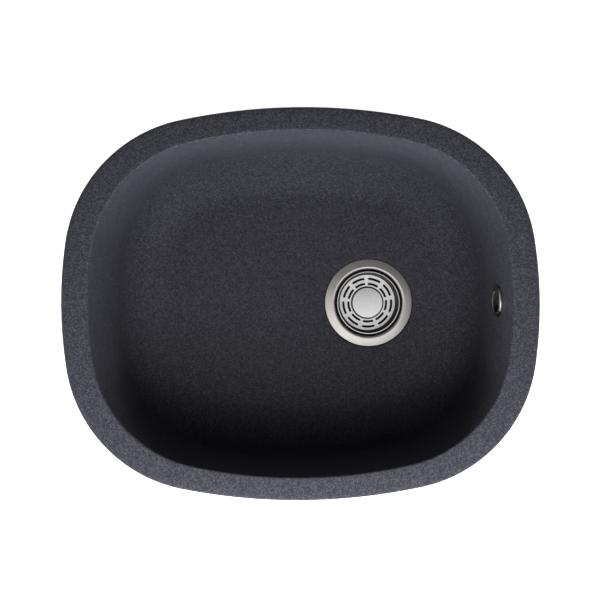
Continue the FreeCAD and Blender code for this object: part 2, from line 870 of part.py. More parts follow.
def build_waste_body():
    """Moulded body: flange, bowl, cone, outlet tube, spoked hub and side inlet."""
    body = new_body("waste_body")
    top = -boss_drop - z.body_gasket_height
    inner, wall = z.body_inner_radius, z.body_wall
    cone, neck, end = -z.body_cone_depth, -z.outlet_top_depth, -z.outlet_depth
    revolve(
        body,
        "shell",
        [
            (inner, top),
            (z.body_flange_radius, top),
            (z.body_flange_radius, top - z.body_flange_height),
            (inner + wall, top - z.body_flange_height),
            (inner + wall, cone),
            (z.outlet_radius, neck),
            (z.outlet_radius, end),
            (z.outlet_inner_radius, end),
            (z.outlet_inner_radius, neck + wall / 2),
            (inner, cone + wall / 2),
        ],
    )
    flange_low = top - z.body_flange_height
    fillet(
        body,
        "shell_edges",
        either(is_ring(inner + wall, cone), is_ring(z.body_flange_radius, flange_low)),
        z.body_wall / 2,
    )
    inlet = new_sketch(body, "inlet_outline", "YZ_Plane", height=inner + wall / 3)
    circle(inlet, 0, -z.nozzle_depth, z.spigot_radius)
    pad(body, "inlet", inlet, z.nozzle_reach - inner - wall / 3)
    collar = new_sketch(body, "collar_outline", "YZ_Plane", height=inner + wall / 3)
    circle(collar, 0, -z.nozzle_depth, z.nozzle_collar_radius)
    pad(body, "collar", collar, z.nozzle_collar_reach - inner - wall / 3)
    bore = new_sketch(body, "inlet_bore_outline", "YZ_Plane", height=z.nozzle_reach)
    circle(bore, 0, -z.nozzle_depth, z.spigot_radius - z.spigot_wall)
    pocket(body, "inlet_bore", bore, z.nozzle_reach - inner + wall)

    hub_top = -z.cup_depth - z.cup_sheet
    hub_low = hub_top - z.hub_height
    spoke_top = hub_top - z.spoke_top_gap
    spoke = new_sketch(body, "spoke_outline", height=spoke_top - z.spoke_height)
    reach = inner - z.spoke_height
    rectangle(spoke, reach / 2, 0, reach, z.spoke_width)
    arm = pad(body, "spoke", spoke, z.spoke_height)
    polar(body, "spokes", [arm], z.spoke_count)
    hub = new_sketch(body, "hub_outline", height=hub_low)
    circle(hub, 0, 0, z.hub_radius)
    pad(body, "hub", hub, z.hub_height)
    insert = new_sketch(body, "insert_bore_outline", height=hub_top - z.insert_cover)
    circle(insert, 0, 0, z.insert_radius)
    pocket(body, "insert_bore", insert, z.insert_height)
    screw = new_sketch(body, "screw_bore_outline", height=hub_top)
    circle(screw, 0, 0, z.screw_radius)
    pocket(body, "screw_bore", screw, z.hub_height + z.overrun)
    place_waste(body)


def build_waste_insert():
    """Threaded brass insert in the hub."""
    body = new_body("waste_insert")
    top = -z.cup_depth - z.cup_sheet - z.insert_cover
    low = top - z.insert_height
    revolve(
        body,
        "sleeve",
        [
            (z.screw_radius, low),
            (z.insert_radius, low),
            (z.insert_radius, top),
            (z.screw_radius, top),
        ],
    )
    place_waste(body)


def build_waste_screw():
    """Screw with a socket in its head that guides the plug's stem."""
    body = new_body("waste_screw")
    seat = -z.cup_depth
    head = seat + z.screw_head_height
    end = -z.cup_depth - z.cup_sheet - z.hub_height
    socket = head - z.screw_socket_depth
    revolve(
        body,
        "turned",
        [
            (0, end),
            (z.screw_radius, end),
            (z.screw_radius, seat),
            (z.screw_head_radius, seat),
            (z.screw_head_radius, head),
            (z.screw_socket_radius, head),
            (z.screw_socket_radius, socket),
            (0, socket),
        ],
    )
    fillet(body, "head_edge", is_ring(z.screw_head_radius, head), z.screw_head_height / 3)
    place_waste(body)


def build_basket():
    """Deep-drawn basket with a rolled rim and two rings of slots in its bottom."""
    body = new_body("basket")
    top = z.basket_rim_height
    plate = -z.basket_plate_depth
    sheet = z.basket_sheet
    lip = top - z.basket_rim_thickness
    revolve(
        body,
        "drawn",
        [
            (z.basket_hub_radius, plate),
            (z.basket_plate_radius, plate),
            (z.basket_top_radius, top),
            (z.basket_rim_radius, top),
            (z.basket_rim_radius, lip),
            (z.basket_top_radius + sheet, lip),
            (z.basket_plate_radius + sheet, plate - sheet),
            (z.basket_hub_radius, plate - sheet),
        ],
    )
    fillet(body, "inner_foot", is_ring(z.basket_plate_radius, plate), z.basket_rounding)
    fillet(
        body,
        "outer_foot",
        is_ring(z.basket_plate_radius + sheet, plate - sheet),
        z.basket_rounding + sheet,
    )
    fillet(
        body,
        "rim_edges",
        either(is_ring(z.basket_top_radius, top), is_ring(z.basket_rim_radius, top)),
        z.basket_rim_thickness / 3,
    )
    cuts = []
    for name, radius in (("outer", z.slot_outer_circle), ("inner", z.slot_inner_circle)):
        slot = new_sketch(body, f"{name}_slot_outline", height=plate)
        arc_slot(slot, radius, z.slot_width / 2)
        cuts.append(pocket(body, f"{name}_slot", slot, sheet + z.overrun))
    polar(body, "slots", cuts, z.slot_count)
    place_waste(body)


def arc_slot(sketch, radius, half):
    """Curved slot with round ends around the middle of the sketch."""
    middle = math.radians(z.slot_start.value)
    swing = math.radians(z.slot_arc.value) / 2
    start, end = middle - swing, middle + swing
    inner = radius.value - half.value
    outer = radius.value + half.value
    up = Vector(0, 0, 1)
    first = Vector(math.cos(start), math.sin(start), 0) * radius.value
    last = Vector(math.cos(end), math.sin(end), 0) * radius.value
    sketch.addGeometry(Part.ArcOfCircle(Part.Circle(Vector(), up, outer), start, end), False)
    sketch.addGeometry(
        Part.ArcOfCircle(Part.Circle(last, up, half.value), end, end + math.pi), False
    )
    sketch.addGeometry(Part.ArcOfCircle(Part.Circle(Vector(), up, inner), start, end), False)
    sketch.addGeometry(
        Part.ArcOfCircle(Part.Circle(first, up, half.value), start - math.pi, start), False
    )
    sketch.addConstraint(Sketcher.Constraint("Tangent", 0, 2, 1, 1))
    sketch.addConstraint(Sketcher.Constraint("Tangent", 1, 2, 2, 2))
    sketch.addConstraint(Sketcher.Constraint("Tangent", 2, 1, 3, 1))
    sketch.addConstraint(Sketcher.Constraint("Tangent", 3, 2, 0, 1))
    sketch.addConstraint(Sketcher.Constraint("Coincident", 0, 3, -1, 1))
    sketch.addConstraint(Sketcher.Constraint("Coincident", 2, 3, -1, 1))
    hold(sketch, "Radius", 0, radius + half)
    hold(sketch, "Radius", 2, radius - half)
    hold(sketch, "DistanceX", -1, 1, 1, 3, Size(last.x, slot_text(radius, "cos", "+")))
    hold(sketch, "DistanceX", -1, 1, 3, 3, Size(first.x, slot_text(radius, "cos", "-")))


def slot_text(radius, function, sign):
    """Expression for one coordinate of a slot's end."""
    angle = f"(Sizes.slot_start {sign} Sizes.slot_arc / 2) * 1 deg"
    return f"{radius.text} * {function}({angle})"


def build_knob():
    """Flat round knob: thin disc with a finger gap under it and a neck on the stem."""
    body = new_body("basket_knob")
    plate = -z.basket_plate_depth
    under = plate + z.knob_lift
    top = under + z.knob_thickness
    foot = plate + z.running_gap
    pocket_top = plate + z.stem_top_height
    revolve(
        body,
        "turned",
        [
            (0, top),
            (0, pocket_top),
            (z.stem_top_radius, pocket_top),
            (z.stem_top_radius, foot),
            (z.knob_neck_radius, foot),
            (z.knob_neck_radius, under),
            (z.knob_radius, under),
            (z.knob_radius, top),
        ],
    )
    fillet(
        body,
        "disc_edge",
        either(is_ring(z.knob_radius, top), is_ring(z.knob_radius, under)),
        z.knob_edge_radius,
    )
    place_waste(body)


def build_plug():
    """Moulded plug: spigot, flange under the basket, seal waist, foot and stem."""
    body = new_body("plug_stem")
    plate = -z.basket_plate_depth
    seat = plate - z.basket_sheet - z.running_gap
    seal_top = -z.plug_seal_top
    seal_low = seal_top - z.plug_seal_height
    foot = -z.plug_foot_depth
    ring = -z.snap_ring_depth
    wire = z.snap_ring_wire
    bottom = z.stem_tip_radius - z.snap_groove_depth
    revolve(
        body,
        "turned",
        [
            (0, plate + z.stem_top_height),
            (z.stem_top_radius, plate + z.stem_top_height),
            (z.stem_top_radius, seat),
            (z.plug_flange_radius, seat),
            (z.plug_flange_radius, seat - z.plug_flange_height),
            (z.plug_waist_radius, -z.plug_waist_top),
            (z.plug_waist_radius, seal_low),
            (z.plug_foot_radius, seal_low),
            (z.plug_foot_radius, foot),
            (z.stem_tip_radius, foot),
            (z.stem_tip_radius, ring + wire),
            (bottom, ring + wire),
            (bottom, ring - wire),
            (z.stem_tip_radius, ring - wire),
            (z.stem_tip_radius, -z.stem_tip_depth),
            (0, -z.stem_tip_depth),
        ],
    )
    fillet(body, "foot_edge", is_ring(z.plug_foot_radius, foot), z.plug_flange_height / 3)
    place_waste(body)


def build_plug_seal():
    """Rubber disc with a thin lip that meets the cone of the cup."""
    body = new_body("plug_seal")
    top = -z.plug_seal_top
    low = top - z.plug_seal_height
    lip = top - z.seal_lip_drop
    revolve(
        body,
        "disc",
        [
            (z.plug_waist_radius, low),
            (z.plug_waist_radius, top),
            (z.seal_plate_radius, top),
            (z.seal_lip_radius, lip),
            (z.seal_lip_radius - z.seal_lip_thickness, lip - z.seal_lip_thickness),
            (z.seal_plate_radius, low),
        ],
    )
    place_waste(body)


def build_snap_ring():
    """Open wire ring in the stem's groove."""
    ring = doc.addObject("Part::Torus", "snap_ring")
    ring.Label = "snap_ring"
    bind(ring, "Radius1", z.stem_tip_radius - z.snap_groove_depth + z.snap_ring_wire)
    bind(ring, "Radius2", z.snap_ring_wire)
    bind(ring, "Angle3", z.snap_ring_sweep)
    ring.Placement = WASTE.multiply(Placement(Vector(0, 0, -z.snap_ring_depth.value), Rotation()))
    ring.setExpression("Placement.Base.x", z.drain_x.text)
    ring.setExpression("Placement.Base.z", (seat_height - z.snap_ring_depth).text)
    parts["snap_ring"] = ring


def turned_on_x(body, name, corners, cut=False):
    """Turn a profile of (distance, radius) corners around the body's own X axis."""
    maker = groove if cut else revolve
    return maker(body, name, corners, "XZ_Plane", "H_Axis")


def build_rosette():
    """Chromed ring with a sleeve through the wall and a spoked hub for the screw."""
    body = new_body("overflow_rosette")
    front = -z.rosette_height
    mouth = z.rosette_mouth_radius
    turned_on_x(
        body,
        "ring",
        [
            (front, mouth),
            (front, z.rosette_radius),
            (0, z.rosette_radius),
            (0, z.sleeve_radius),
            (z.sleeve_length, z.sleeve_radius),
            (z.sleeve_length, z.sleeve_inner_radius),
            (0, z.sleeve_inner_radius),
        ],
    )
    fillet(
        body,
        "ring_edges",
        either(is_ring(z.rosette_radius, front, 0), is_ring(mouth, front, 0)),
        z.rosette_edge_radius,
    )
    back = z.rosette_spoke_back
    depth = back - z.rosette_spoke_front
    spoke = new_sketch(body, "spoke_outline", "YZ_Plane", height=z.rosette_spoke_front)
    reach = z.sleeve_inner_radius + (z.sleeve_radius - z.sleeve_inner_radius) / 2
    rectangle(spoke, 0, reach / 2, z.rosette_spoke_width, reach)
    arm = pad(body, "spoke", spoke, depth)
    polar(body, "spokes", [arm], z.rosette_spoke_count, "X_Axis")
    hub = new_sketch(body, "hub_outline", "YZ_Plane", height=z.rosette_spoke_front)
    circle(hub, 0, 0, z.rosette_hub_radius)
    pad(body, "hub", hub, depth)
    hole = new_sketch(body, "screw_hole_outline", "YZ_Plane", height=back)
    circle(hole, 0, 0, z.overflow_screw_radius + z.screw_hole_clearance)
    pocket(body, "screw_hole", hole, back + z.overrun)
    body.Placement = OVERFLOW


def build_rosette_gasket():
    """Thin ring between the rosette and its seat in the wall."""
    body = new_body("rosette_gasket")
    turned_on_x(
        body,
        "ring",
        [
            (0, z.overflow_hole_radius),
            (0, z.rosette_radius),
            (z.overflow_seat_depth, z.rosette_radius),
            (z.overflow_seat_depth, z.overflow_hole_radius),
        ],
    )
    body.Placement = OVERFLOW


def build_elbow_gasket():
    """Soft ring between the wall's outer boss and the elbow's flange."""
    body = new_body("elbow_gasket")
    near = z.overflow_boss_reach
    far = near + z.elbow_gasket_height
    turned_on_x(
        body,
        "ring",
        [
            (near, z.overflow_hole_radius),
            (near, z.elbow_flange_radius),
            (far, z.elbow_flange_radius),
            (far, z.overflow_hole_radius),
        ],
    )
    body.Placement = OVERFLOW


def build_elbow():
    """Moulded elbow: flange, round chamber with the screw post, and the hose spigot."""
    body = new_body("overflow_elbow")
    near = z.overflow_boss_reach + z.elbow_gasket_height
    far = z.elbow_reach
    inner = z.elbow_radius - z.elbow_wall
    turned_on_x(
        body,
        "chamber",
        [
            (near, 0),
            (near, z.elbow_flange_radius),
            (near + z.elbow_flange_height, z.elbow_flange_radius),
            (near + z.elbow_flange_height, z.elbow_radius),
            (far, z.elbow_radius),
            (far, 0),
        ],
    )
    fillet(body, "chamber_edge", is_ring(z.elbow_radius, far, 0), z.elbow_wall)
    spigot = new_sketch(body, "spigot_outline", height=-z.elbow_pipe_drop)
    circle(spigot, z.elbow_pipe_reach, 0, z.spigot_radius)
    pad(body, "spigot", spigot, z.elbow_pipe_drop)
    collar = new_sketch(body, "collar_outline", height=-z.elbow_collar_drop)
    half = far - z.elbow_pipe_reach
    circle(collar, z.elbow_pipe_reach, 0, half)
    pad(body, "collar", collar, z.elbow_collar_drop)
    post_face = near + z.elbow_post_gap
    turned_on_x(
        body,
        "hollow",
        [
            (near, 0),
            (near, inner),
            (far - z.elbow_wall, inner),
            (far - z.elbow_wall, z.elbow_post_radius),
            (post_face, z.elbow_post_radius),
            (post_face, 0),
        ],
        cut=True,
    )
    screw_end = z.rosette_spoke_front + z.overflow_screw_length
    turned_on_x(
        body,
        "screw_bore",
        [
            (post_face, 0),
            (post_face, z.overflow_screw_radius),
            (screw_end, z.overflow_screw_radius),
            (screw_end, 0),
        ],
        cut=True,
    )
    bore = new_sketch(body, "spigot_bore_outline", height=-z.elbow_pipe_drop)
    circle(bore, z.elbow_pipe_reach, 0, z.spigot_radius - z.spigot_wall)
    bore_length = z.elbow_pipe_drop - z.elbow_radius + z.elbow_wall * 2
    pocket(body, "spigot_bore", bore, bore_length, reverse=True)
    body.Placement = OVERFLOW


def build_overflow_screw():
    """Slotted screw that pulls the rosette and the elbow against the wall."""
    body = new_body("overflow_screw")
    under = z.rosette_spoke_front
    top = under - z.overflow_screw_head_height
    turned_on_x(
        body,
        "turned",
        [
            (top, 0),
            (top, z.overflow_screw_head_radius),
            (under, z.overflow_screw_head_radius),
            (under, z.overflow_screw_radius),
            (under + z.overflow_screw_length, z.overflow_screw_radius),
            (under + z.overflow_screw_length, 0),
        ],
    )
    fillet(
        body,
        "head_edge",
        is_ring(z.overflow_screw_head_radius, top, 0),
        z.overflow_screw_head_height / 3,
    )
    slot = new_sketch(body, "slot_outline", "YZ_Plane", height=top)
    slot_length = (z.overflow_screw_head_radius + z.overrun) * 2
    rectangle(slot, 0, 0, z.overflow_screw_slot, slot_length)
    pocket(body, "slot", slot, z.overflow_screw_head_height / 2, reverse=True)
    body.Placement = OVERFLOW


def hose_route():
    """Ends of the hose's straight runs and its bend, in the XZ plane of the sink."""
    tilt = math.radians(lean)
    top = OVERFLOW.multVec(
        Vector(z.elbow_pipe_reach.value, 0, -(z.elbow_collar_drop + z.hose_end_gap).value)
    )
    down = Vector(-math.sin(tilt), 0, -math.cos(tilt))
    level = (seat_height - z.nozzle_depth).value
    start_x = (z.drain_x + z.nozzle_collar_reach + z.hose_end_gap).value
    run = (top.z - level) / math.cos(tilt)
    corner = top + down * run
    turn = math.pi / 2 - tilt
    setback = z.hose_bend_radius.value * math.tan(turn / 2)
    bend_low = Vector(corner.x - setback, 0, level)
    bend_high = corner - down * setback
    centre = bend_low + Vector(0, 0, z.hose_bend_radius.value)
    return Vector(start_x, 0, level), bend_low, centre, bend_high, top


def flat(point):
    """A point of the XZ plane in the coordinates of a sketch on it."""
    return Vector(point.x, point.z, 0)


def build_hose():
    """Hose from the side inlet along the level run, the bend and up to the elbow."""
    body = new_body("overflow_hose")
    start, bend_low, centre, bend_high, top = hose_route()
    radius = z.hose_bend_radius
    start_x = z.drain_x + z.nozzle_collar_reach + z.hose_end_gap
    level = seat_height - z.nozzle_depth
    path = new_sketch(body, "route", "XZ_Plane")
    path.addGeometry(Part.LineSegment(flat(start), flat(bend_low)), False)
    finish = flat(bend_high) - flat(centre)
    arc = Part.ArcOfCircle(
        Part.Circle(flat(centre), Vector(0, 0, 1), radius.value),
        -math.pi / 2,
        math.atan2(finish.y, finish.x),
    )
    path.addGeometry(arc, False)
    path.addGeometry(Part.LineSegment(flat(bend_high), flat(top)), False)
    path.addConstraint(Sketcher.Constraint("Tangent", 0, 2, 1, 1))
    path.addConstraint(Sketcher.Constraint("Tangent", 1, 2, 2, 1))
    hold(path, "Horizontal", 0)
    hold(path, "Radius", 1, radius)
    place_point(path, 0, 1, start_x, level)
    hold(path, "DistanceX", -1, 1, 2, 2, top.x)
    hold(path, "DistanceY", -1, 1, 2, 2, top.z)
    section = new_sketch(body, "section", "YZ_Plane", height=start_x)
    circle(section, 0, level, z.hose_radius)
    circle(section, 0, level, z.spigot_radius)
    doc.recompute()
    tube = body.newObject("PartDesign::AdditivePipe", "tube")
    tube.Profile = section
    tube.Spine = (path, ["Edge1", "Edge2", "Edge3"])
    section.Visibility = False
    path.Visibility = False
    doc.recompute()


def clamp_places():
    """Placement of both clamps: local +Z along the hose, origin in the band's middle."""
    start, _, _, _, top = hose_route()
    tilt = lean
    back = z.clamp_setback.value
    lower = Placement(start + Vector(back, 0, 0), Rotation(Vector(0, 1, 0), 90))
    direction = Vector(-math.sin(math.radians(tilt)), 0, -math.cos(math.radians(tilt)))
    upper = Placement(top + direction * back, Rotation(Vector(0, 1, 0), tilt))
    return {"lower": lower, "upper": upper}


def build_clamps():
    """Steel bands around the hose ends, each with a screw housing and its screw."""
    for name, place in clamp_places().items():
        body = new_body(f"hose_clamp_{name}")
        outer = z.hose_radius + z.clamp_band
        half = z.clamp_width / 2
        revolve(
            body,
            "band",
            [(z.hose_radius, -half), (outer, -half), (outer, half), (z.hose_radius, half)],
        )
        middle = z.hose_radius + z.clamp_band / 2
        house = new_sketch(body, "housing_outline", "XZ_Plane", height=middle)
        rectangle(house, 0, 0, z.clamp_house_length, z.clamp_house_width)
        pad(body, "housing", house, z.clamp_house_height)
        axis_y = -(outer + z.clamp_house_height / 2)
        far = z.clamp_house_length / 2 + z.overrun
        bore = new_sketch(body, "screw_bore_outline", "YZ_Plane", height=far)
        circle(bore, axis_y, 0, z.clamp_screw_radius)
        pocket(body, "screw_bore", bore, far * 2)
        body.Placement = place

        screw = new_body(f"clamp_screw_{name}")
        shank = new_sketch(screw, "shank_outline", "YZ_Plane", height=-z.clamp_house_length / 2)
        circle(shank, axis_y, 0, z.clamp_screw_radius)
        pad(screw, "shank", shank, z.clamp_house_length)
        head = new_sketch(screw, "head_outline", "YZ_Plane", height=z.clamp_house_length / 2)
        circle(head, axis_y, 0, z.clamp_screw_head_radius)
        pad(screw, "head", head, z.clamp_screw_head_height)
        screw.Placement = place


def grouped(label, maker):
    """One node that holds the same small part at every clip."""
    shapes = [maker().transformed(site.toMatrix()) for site in CLIPS]
    item = doc.addObject("Part::Feature", label)
    item.Label = label
    item.Shape = Part.makeCompound(shapes)
    parts[label] = item


def clip_insert():
    """Brass sleeve cast into a clip boss."""
    height = z.clip_insert_depth.value
    low = Vector(0, 0, -z.clip_boss_height.value)
    outer = Part.makeCylinder(z.clip_insert_radius.value, height, low)
    return outer.cut(Part.makeCylinder(z.stud_radius.value, height, low))


def clip_stud():
    """Threaded stud with a chamfered lower end."""
    radius = z.stud_radius.value
    top = z.clip_insert_depth.value - z.clip_boss_height.value
    low = Vector(0, 0, -z.stud_end.value)
    stud = Part.makeCylinder(radius, z.stud_end.value + top, low)
    rim = [edge for edge in stud.Edges if is_ring(z.stud_radius, -z.stud_end)(edge)]
    return stud.makeChamfer(radius / 4, rim)


def build_clip_nut(name, site):
    """Wing nut with a round flange that carries the clamp arm."""
    body = new_body(f"clip_nut_{name}")
    top = -z.nut_top
    flange_low = top - z.nut_flange_height
    low = flange_low - z.nut_hub_height
    bore = z.stud_radius + z.thread_gap
    revolve(
        body,
        "turned",
        [
            (bore, top),
            (z.nut_flange_radius, top),
            (z.nut_flange_radius, flange_low),
            (z.nut_hub_radius, flange_low),
            (z.nut_hub_radius, low),
            (bore, low),
        ],
    )
    wing_top = flange_low + z.nut_flange_height / 2
    half = z.nut_wing_span / 2
    for side, sign in (("right", 1), ("left", -1)):
        near = (z.nut_hub_radius - z.nut_wing_root) * sign
        middle = (z.nut_flange_radius - z.nut_wing_root) * sign
        back = -z.nut_wing_thickness / 2
        wing = new_sketch(body, f"wing_{side}_outline", "YZ_Plane", height=back)
        corners = [
            (near, low + z.nut_wing_drop),
            (half * sign, low - z.nut_wing_drop),
            (half * sign, low - z.nut_wing_drop + z.nut_wing_height),
            (middle, wing_top),
            (near, wing_top),
        ]
        polygon(wing, corners if sign > 0 else corners[::-1])
        pad(body, f"wing_{side}", wing, z.nut_wing_thickness)
    body.Placement = site
    return body


def build_clip_arm(name, site):
    """Clamp arm stowed along the wall: flat bar with an upturned, toothed toe."""
    body = new_body(f"clip_arm_{name}")
    low = -z.nut_top + z.running_gap
    half = z.arm_width / 2
    reach = z.arm_length
    plate = new_sketch(body, "plate_outline", height=low)
    side_bar(plate, half, reach)
    pad(body, "plate", plate, z.arm_thickness)
    toe = new_sketch(body, "toe_outline", height=low)
    rectangle(toe, 0, -(reach - z.arm_toe_thickness / 2), z.arm_width, z.arm_toe_thickness)
    pad(body, "toe", toe, z.arm_toe_height)
    top = low + z.arm_toe_height
    pitch = z.arm_width / z.arm_tooth_count
    for index in range(int(z.arm_tooth_count.value)):
        tooth = new_sketch(body, f"tooth_{index}_outline", "XZ_Plane", height=reach + z.overrun)
        left = pitch * index - half
        right = left + pitch
        above = top + z.overrun
        valley = (left + pitch / 2, top - z.arm_tooth_depth)
        polygon(tooth, [(left, above), (left, top), valley, (right, top), (right, above)])
        pocket(body, f"tooth_{index}", tooth, z.arm_toe_thickness + z.overrun * 2)
    hole = new_sketch(body, "stud_hole_outline", height=low)
    circle(hole, 0, 0, z.stud_radius + z.thread_gap)
    pocket(body, "stud_hole", hole, z.arm_thickness + z.overrun, reverse=True)
    body.Placement = site
    return body


def side_bar(sketch, half, reach):
    """Bar outline towards -Y with a round end about the stud."""
    width, length = half.value, reach.value
    corners = [Vector(-width, 0, 0), Vector(-width, -length, 0), Vector(width, -length, 0)]
    corners.append(Vector(width, 0, 0))
    for start, end in zip(corners, corners[1:]):
        sketch.addGeometry(Part.LineSegment(start, end), False)
    sketch.addGeometry(
        Part.ArcOfCircle(Part.Circle(Vector(), Vector(0, 0, 1), width), 0, math.pi), False
    )
    for index in range(2):
        sketch.addConstraint(Sketcher.Constraint("Coincident", index, 2, index + 1, 1))
    sketch.addConstraint(Sketcher.Constraint("Tangent", 2, 2, 3, 1))
    sketch.addConstraint(Sketcher.Constraint("Tangent", 0, 1, 3, 2))
    sketch.addConstraint(Sketcher.Constraint("Coincident", 3, 3, -1, 1))
    hold(sketch, "Vertical", 0)
    hold(sketch, "Horizontal", 1)
    hold(sketch, "Radius", 3, half)
    hold(sketch, "DistanceY", -1, 1, 1, 1, -reach)


def check_document():
    """Stop when any object of the document failed or has an unsound shape."""
    doc.recompute()
    for item in doc.Objects:
        if "Invalid" in item.State or "Error" in item.State:
            raise RuntimeError(f"{item.Name} failed: {item.State}")
    for label, item in parts.items():
        if item.Shape.isNull() or not item.Shape.isValid():
            raise RuntimeError(f"{label} has no sound shape")
        count = len(item.Shape.Solids)
        print(f"{label}: {count} solid, {item.Shape.Volume / 1000:.2f} cm3")


def write_parts():
    """Write each sub-part to its own file."""
    os.makedirs("parts", exist_ok=True)
    for label, item in parts.items():
        item.Shape.exportStep(f"parts/{label}.step")


build_bowl()
build_rim_seal()
build_strainer_cup()
build_flange_gasket()
build_body_gasket()
build_waste_body()
build_waste_insert()
build_waste_screw()
build_basket()
build_knob()
build_plug()
build_plug_seal()
build_snap_ring()
build_rosette()
build_rosette_gasket()
build_elbow_gasket()
build_elbow()
build_overflow_screw()
build_hose()
build_clamps()
grouped("clip_inserts", clip_insert)
grouped("clip_studs", clip_stud)
for clip_name, clip_site in zip(CLIP_NAMES, CLIPS):
    build_clip_nut(clip_name, clip_site)
    build_clip_arm(clip_name, clip_site)
check_document()
write_parts()
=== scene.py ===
"""Dressed scene of the quartz kitchen sink: pieces, finishes, light and camera.

Metres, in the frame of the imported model: the origin is the centre of the rim's outline in the
plane of its underside, +Z is up, +X points to the drain and the overflow, +Y to the back. The
assemblies hold their sizes in millimetres, and the mesh helpers turn them to metres.
"""

import logging
import math
from dataclasses import dataclass, field
from enum import Enum
from typing import Callable, Iterable, Optional, Sequence

import bmesh
import bpy
from mathutils import Matrix, Vector


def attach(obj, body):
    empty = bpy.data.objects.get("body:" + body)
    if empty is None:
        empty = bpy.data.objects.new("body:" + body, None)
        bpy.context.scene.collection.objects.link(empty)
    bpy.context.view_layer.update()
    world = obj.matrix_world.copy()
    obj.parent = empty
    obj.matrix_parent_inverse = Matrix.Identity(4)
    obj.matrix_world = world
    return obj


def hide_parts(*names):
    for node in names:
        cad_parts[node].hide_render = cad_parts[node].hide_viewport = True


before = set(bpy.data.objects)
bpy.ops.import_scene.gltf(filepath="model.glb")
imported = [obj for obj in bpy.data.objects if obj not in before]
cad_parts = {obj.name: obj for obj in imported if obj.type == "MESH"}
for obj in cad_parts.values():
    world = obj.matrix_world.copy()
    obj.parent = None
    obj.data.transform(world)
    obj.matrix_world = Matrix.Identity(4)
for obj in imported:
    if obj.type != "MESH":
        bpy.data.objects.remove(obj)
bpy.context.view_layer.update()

MM = 0.001
LOG = logging.getLogger("sink")

Item = bpy.types.Object
Mesh = bpy.types.Mesh
Node = bpy.types.Node
NodeTree = bpy.types.NodeTree
Socket = bpy.types.NodeSocket
Ring = list[Vector]
Corner = tuple[float, float]
Colour = tuple[float, float, float]
Place = tuple[float, float, float]


class Join(Enum):
    """How a second solid acts on a piece."""

    ADD = "UNION"
    CUT = "DIFFERENCE"


# Shapes in plain numbers


@dataclass(frozen=True)
class Oval:
    """An oval of eight tangent arcs, seen from above, in millimetres."""

    half_length: float
    half_width: float
    side: float
    long: float
    corner: float

    def grown(self, by: float) -> "Oval":
        """The parallel oval at a distance outwards.

        Args:
            by: Distance; negative goes inwards.

        Returns:
            The new oval.
        """
        return Oval(
            self.half_length + by,
            self.half_width + by,
            self.side + by,
            self.long + by,
            self.corner + by,
        )

    def corner_centre(self) -> Vector:
        """Centre of the first quadrant's corner arc.

        Returns:
            The point where that arc is tangent to both its neighbours.
        """
        side = Vector((self.half_length - self.side, 0.0))
        long = Vector((0.0, self.half_width - self.long))
        span = (long - side).length
        near, far = self.side - self.corner, self.long - self.corner
        along = (near**2 - far**2 + span**2) / (2 * span)
        across = math.sqrt(near**2 - along**2)
        unit = (long - side) / span
        turned = Vector((unit.y, -unit.x))
        options = [side + unit * along + turned * across * way for way in (1, -1)]
        return max(options, key=lambda point: point.x + point.y)

    def samples(self, per_side: int, per_corner: int, per_long: int) -> list[tuple[Vector, Vector]]:
        """Points and outward normals round the oval, counterclockwise from mid-right.

        Args:
            per_side: Steps on each short side's arc, an even number.
            per_corner: Steps on each corner's arc.
            per_long: Steps on each long side's arc, an even number.

        Returns:
            Pairs of point and unit normal; arcs of two ovals match step for step.
        """
        centre = self.corner_centre()
        side = Vector((self.half_length - self.side, 0.0))
        long = Vector((0.0, self.half_width - self.long))
        low = math.atan2(centre.y - side.y, centre.x - side.x)
        high = math.atan2(centre.y - long.y, centre.x - long.x)
        quarter = []
        for index in range(per_side // 2):
            quarter.append((side, self.side, low * index / (per_side / 2)))
        for index in range(per_corner):
            quarter.append((centre, self.corner, low + (high - low) * index / per_corner))
        for index in range(per_long // 2):
            share = index / (per_long / 2)
            quarter.append((long, self.long, high + (math.pi / 2 - high) * share))
        first = []
        for middle, radius, angle in quarter:
            normal = Vector((math.cos(angle), math.sin(angle)))
            first.append((middle + normal * radius, normal))
        top = Vector((0.0, self.half_width)), Vector((0.0, 1.0))
        second = [top] + [flip(pair, -1, 1) for pair in reversed(first[1:])]
        half = first + second
        return half + [flip(pair, -1, -1) for pair in half]


def flip(pair: tuple[Vector, Vector], x: int, y: int) -> tuple[Vector, Vector]:
    """Mirror a point and its normal about the axes."""
    return tuple(Vector((item.x * x, item.y * y)) for item in pair)


def rounded(corners: Sequence[tuple], steps: int) -> list[Corner]:
    """Round the corners of an outline.

    Args:
        corners: (a, b) or (a, b, radius) per corner, in order; the outline isn't closed.
        steps: Segments in each rounding.

    Returns:
        The outline's points with the roundings put in.
    """
    points: list[Corner] = []
    last = len(corners) - 1
    for index, corner in enumerate(corners):
        here = Vector(corner[:2])
        radius = corner[2] if len(corner) > 2 else 0.0
        if radius <= 0 or index in (0, last):
            points.append((here.x, here.y))
            continue
        before = (Vector(corners[index - 1][:2]) - here).normalized()
        after = (Vector(corners[index + 1][:2]) - here).normalized()
        opening = before.angle(after)
        reach = radius / math.tan(opening / 2)
        middle = here + (before + after).normalized() * (radius / math.sin(opening / 2))
        start, end = here + before * reach - middle, here + after * reach - middle
        turn = start.angle_signed(end)
        for step in range(steps + 1):
            angle = -turn * step / steps
            c, s = math.cos(angle), math.sin(angle)
            spoke = Vector((start.x * c - start.y * s, start.x * s + start.y * c))
            points.append((middle.x + spoke.x, middle.y + spoke.y))
    return points


# Mesh helpers

# Distances for welding in metres, the pole's radius in millimetres
WELD = 1e-7
CAD_WELD = 2e-6
POLE_RADIUS = 1e-6
FLAT_DEGREES = 0.6
CRISP_DEGREES = 30.0
SOFTENED_DEGREES = 40.0

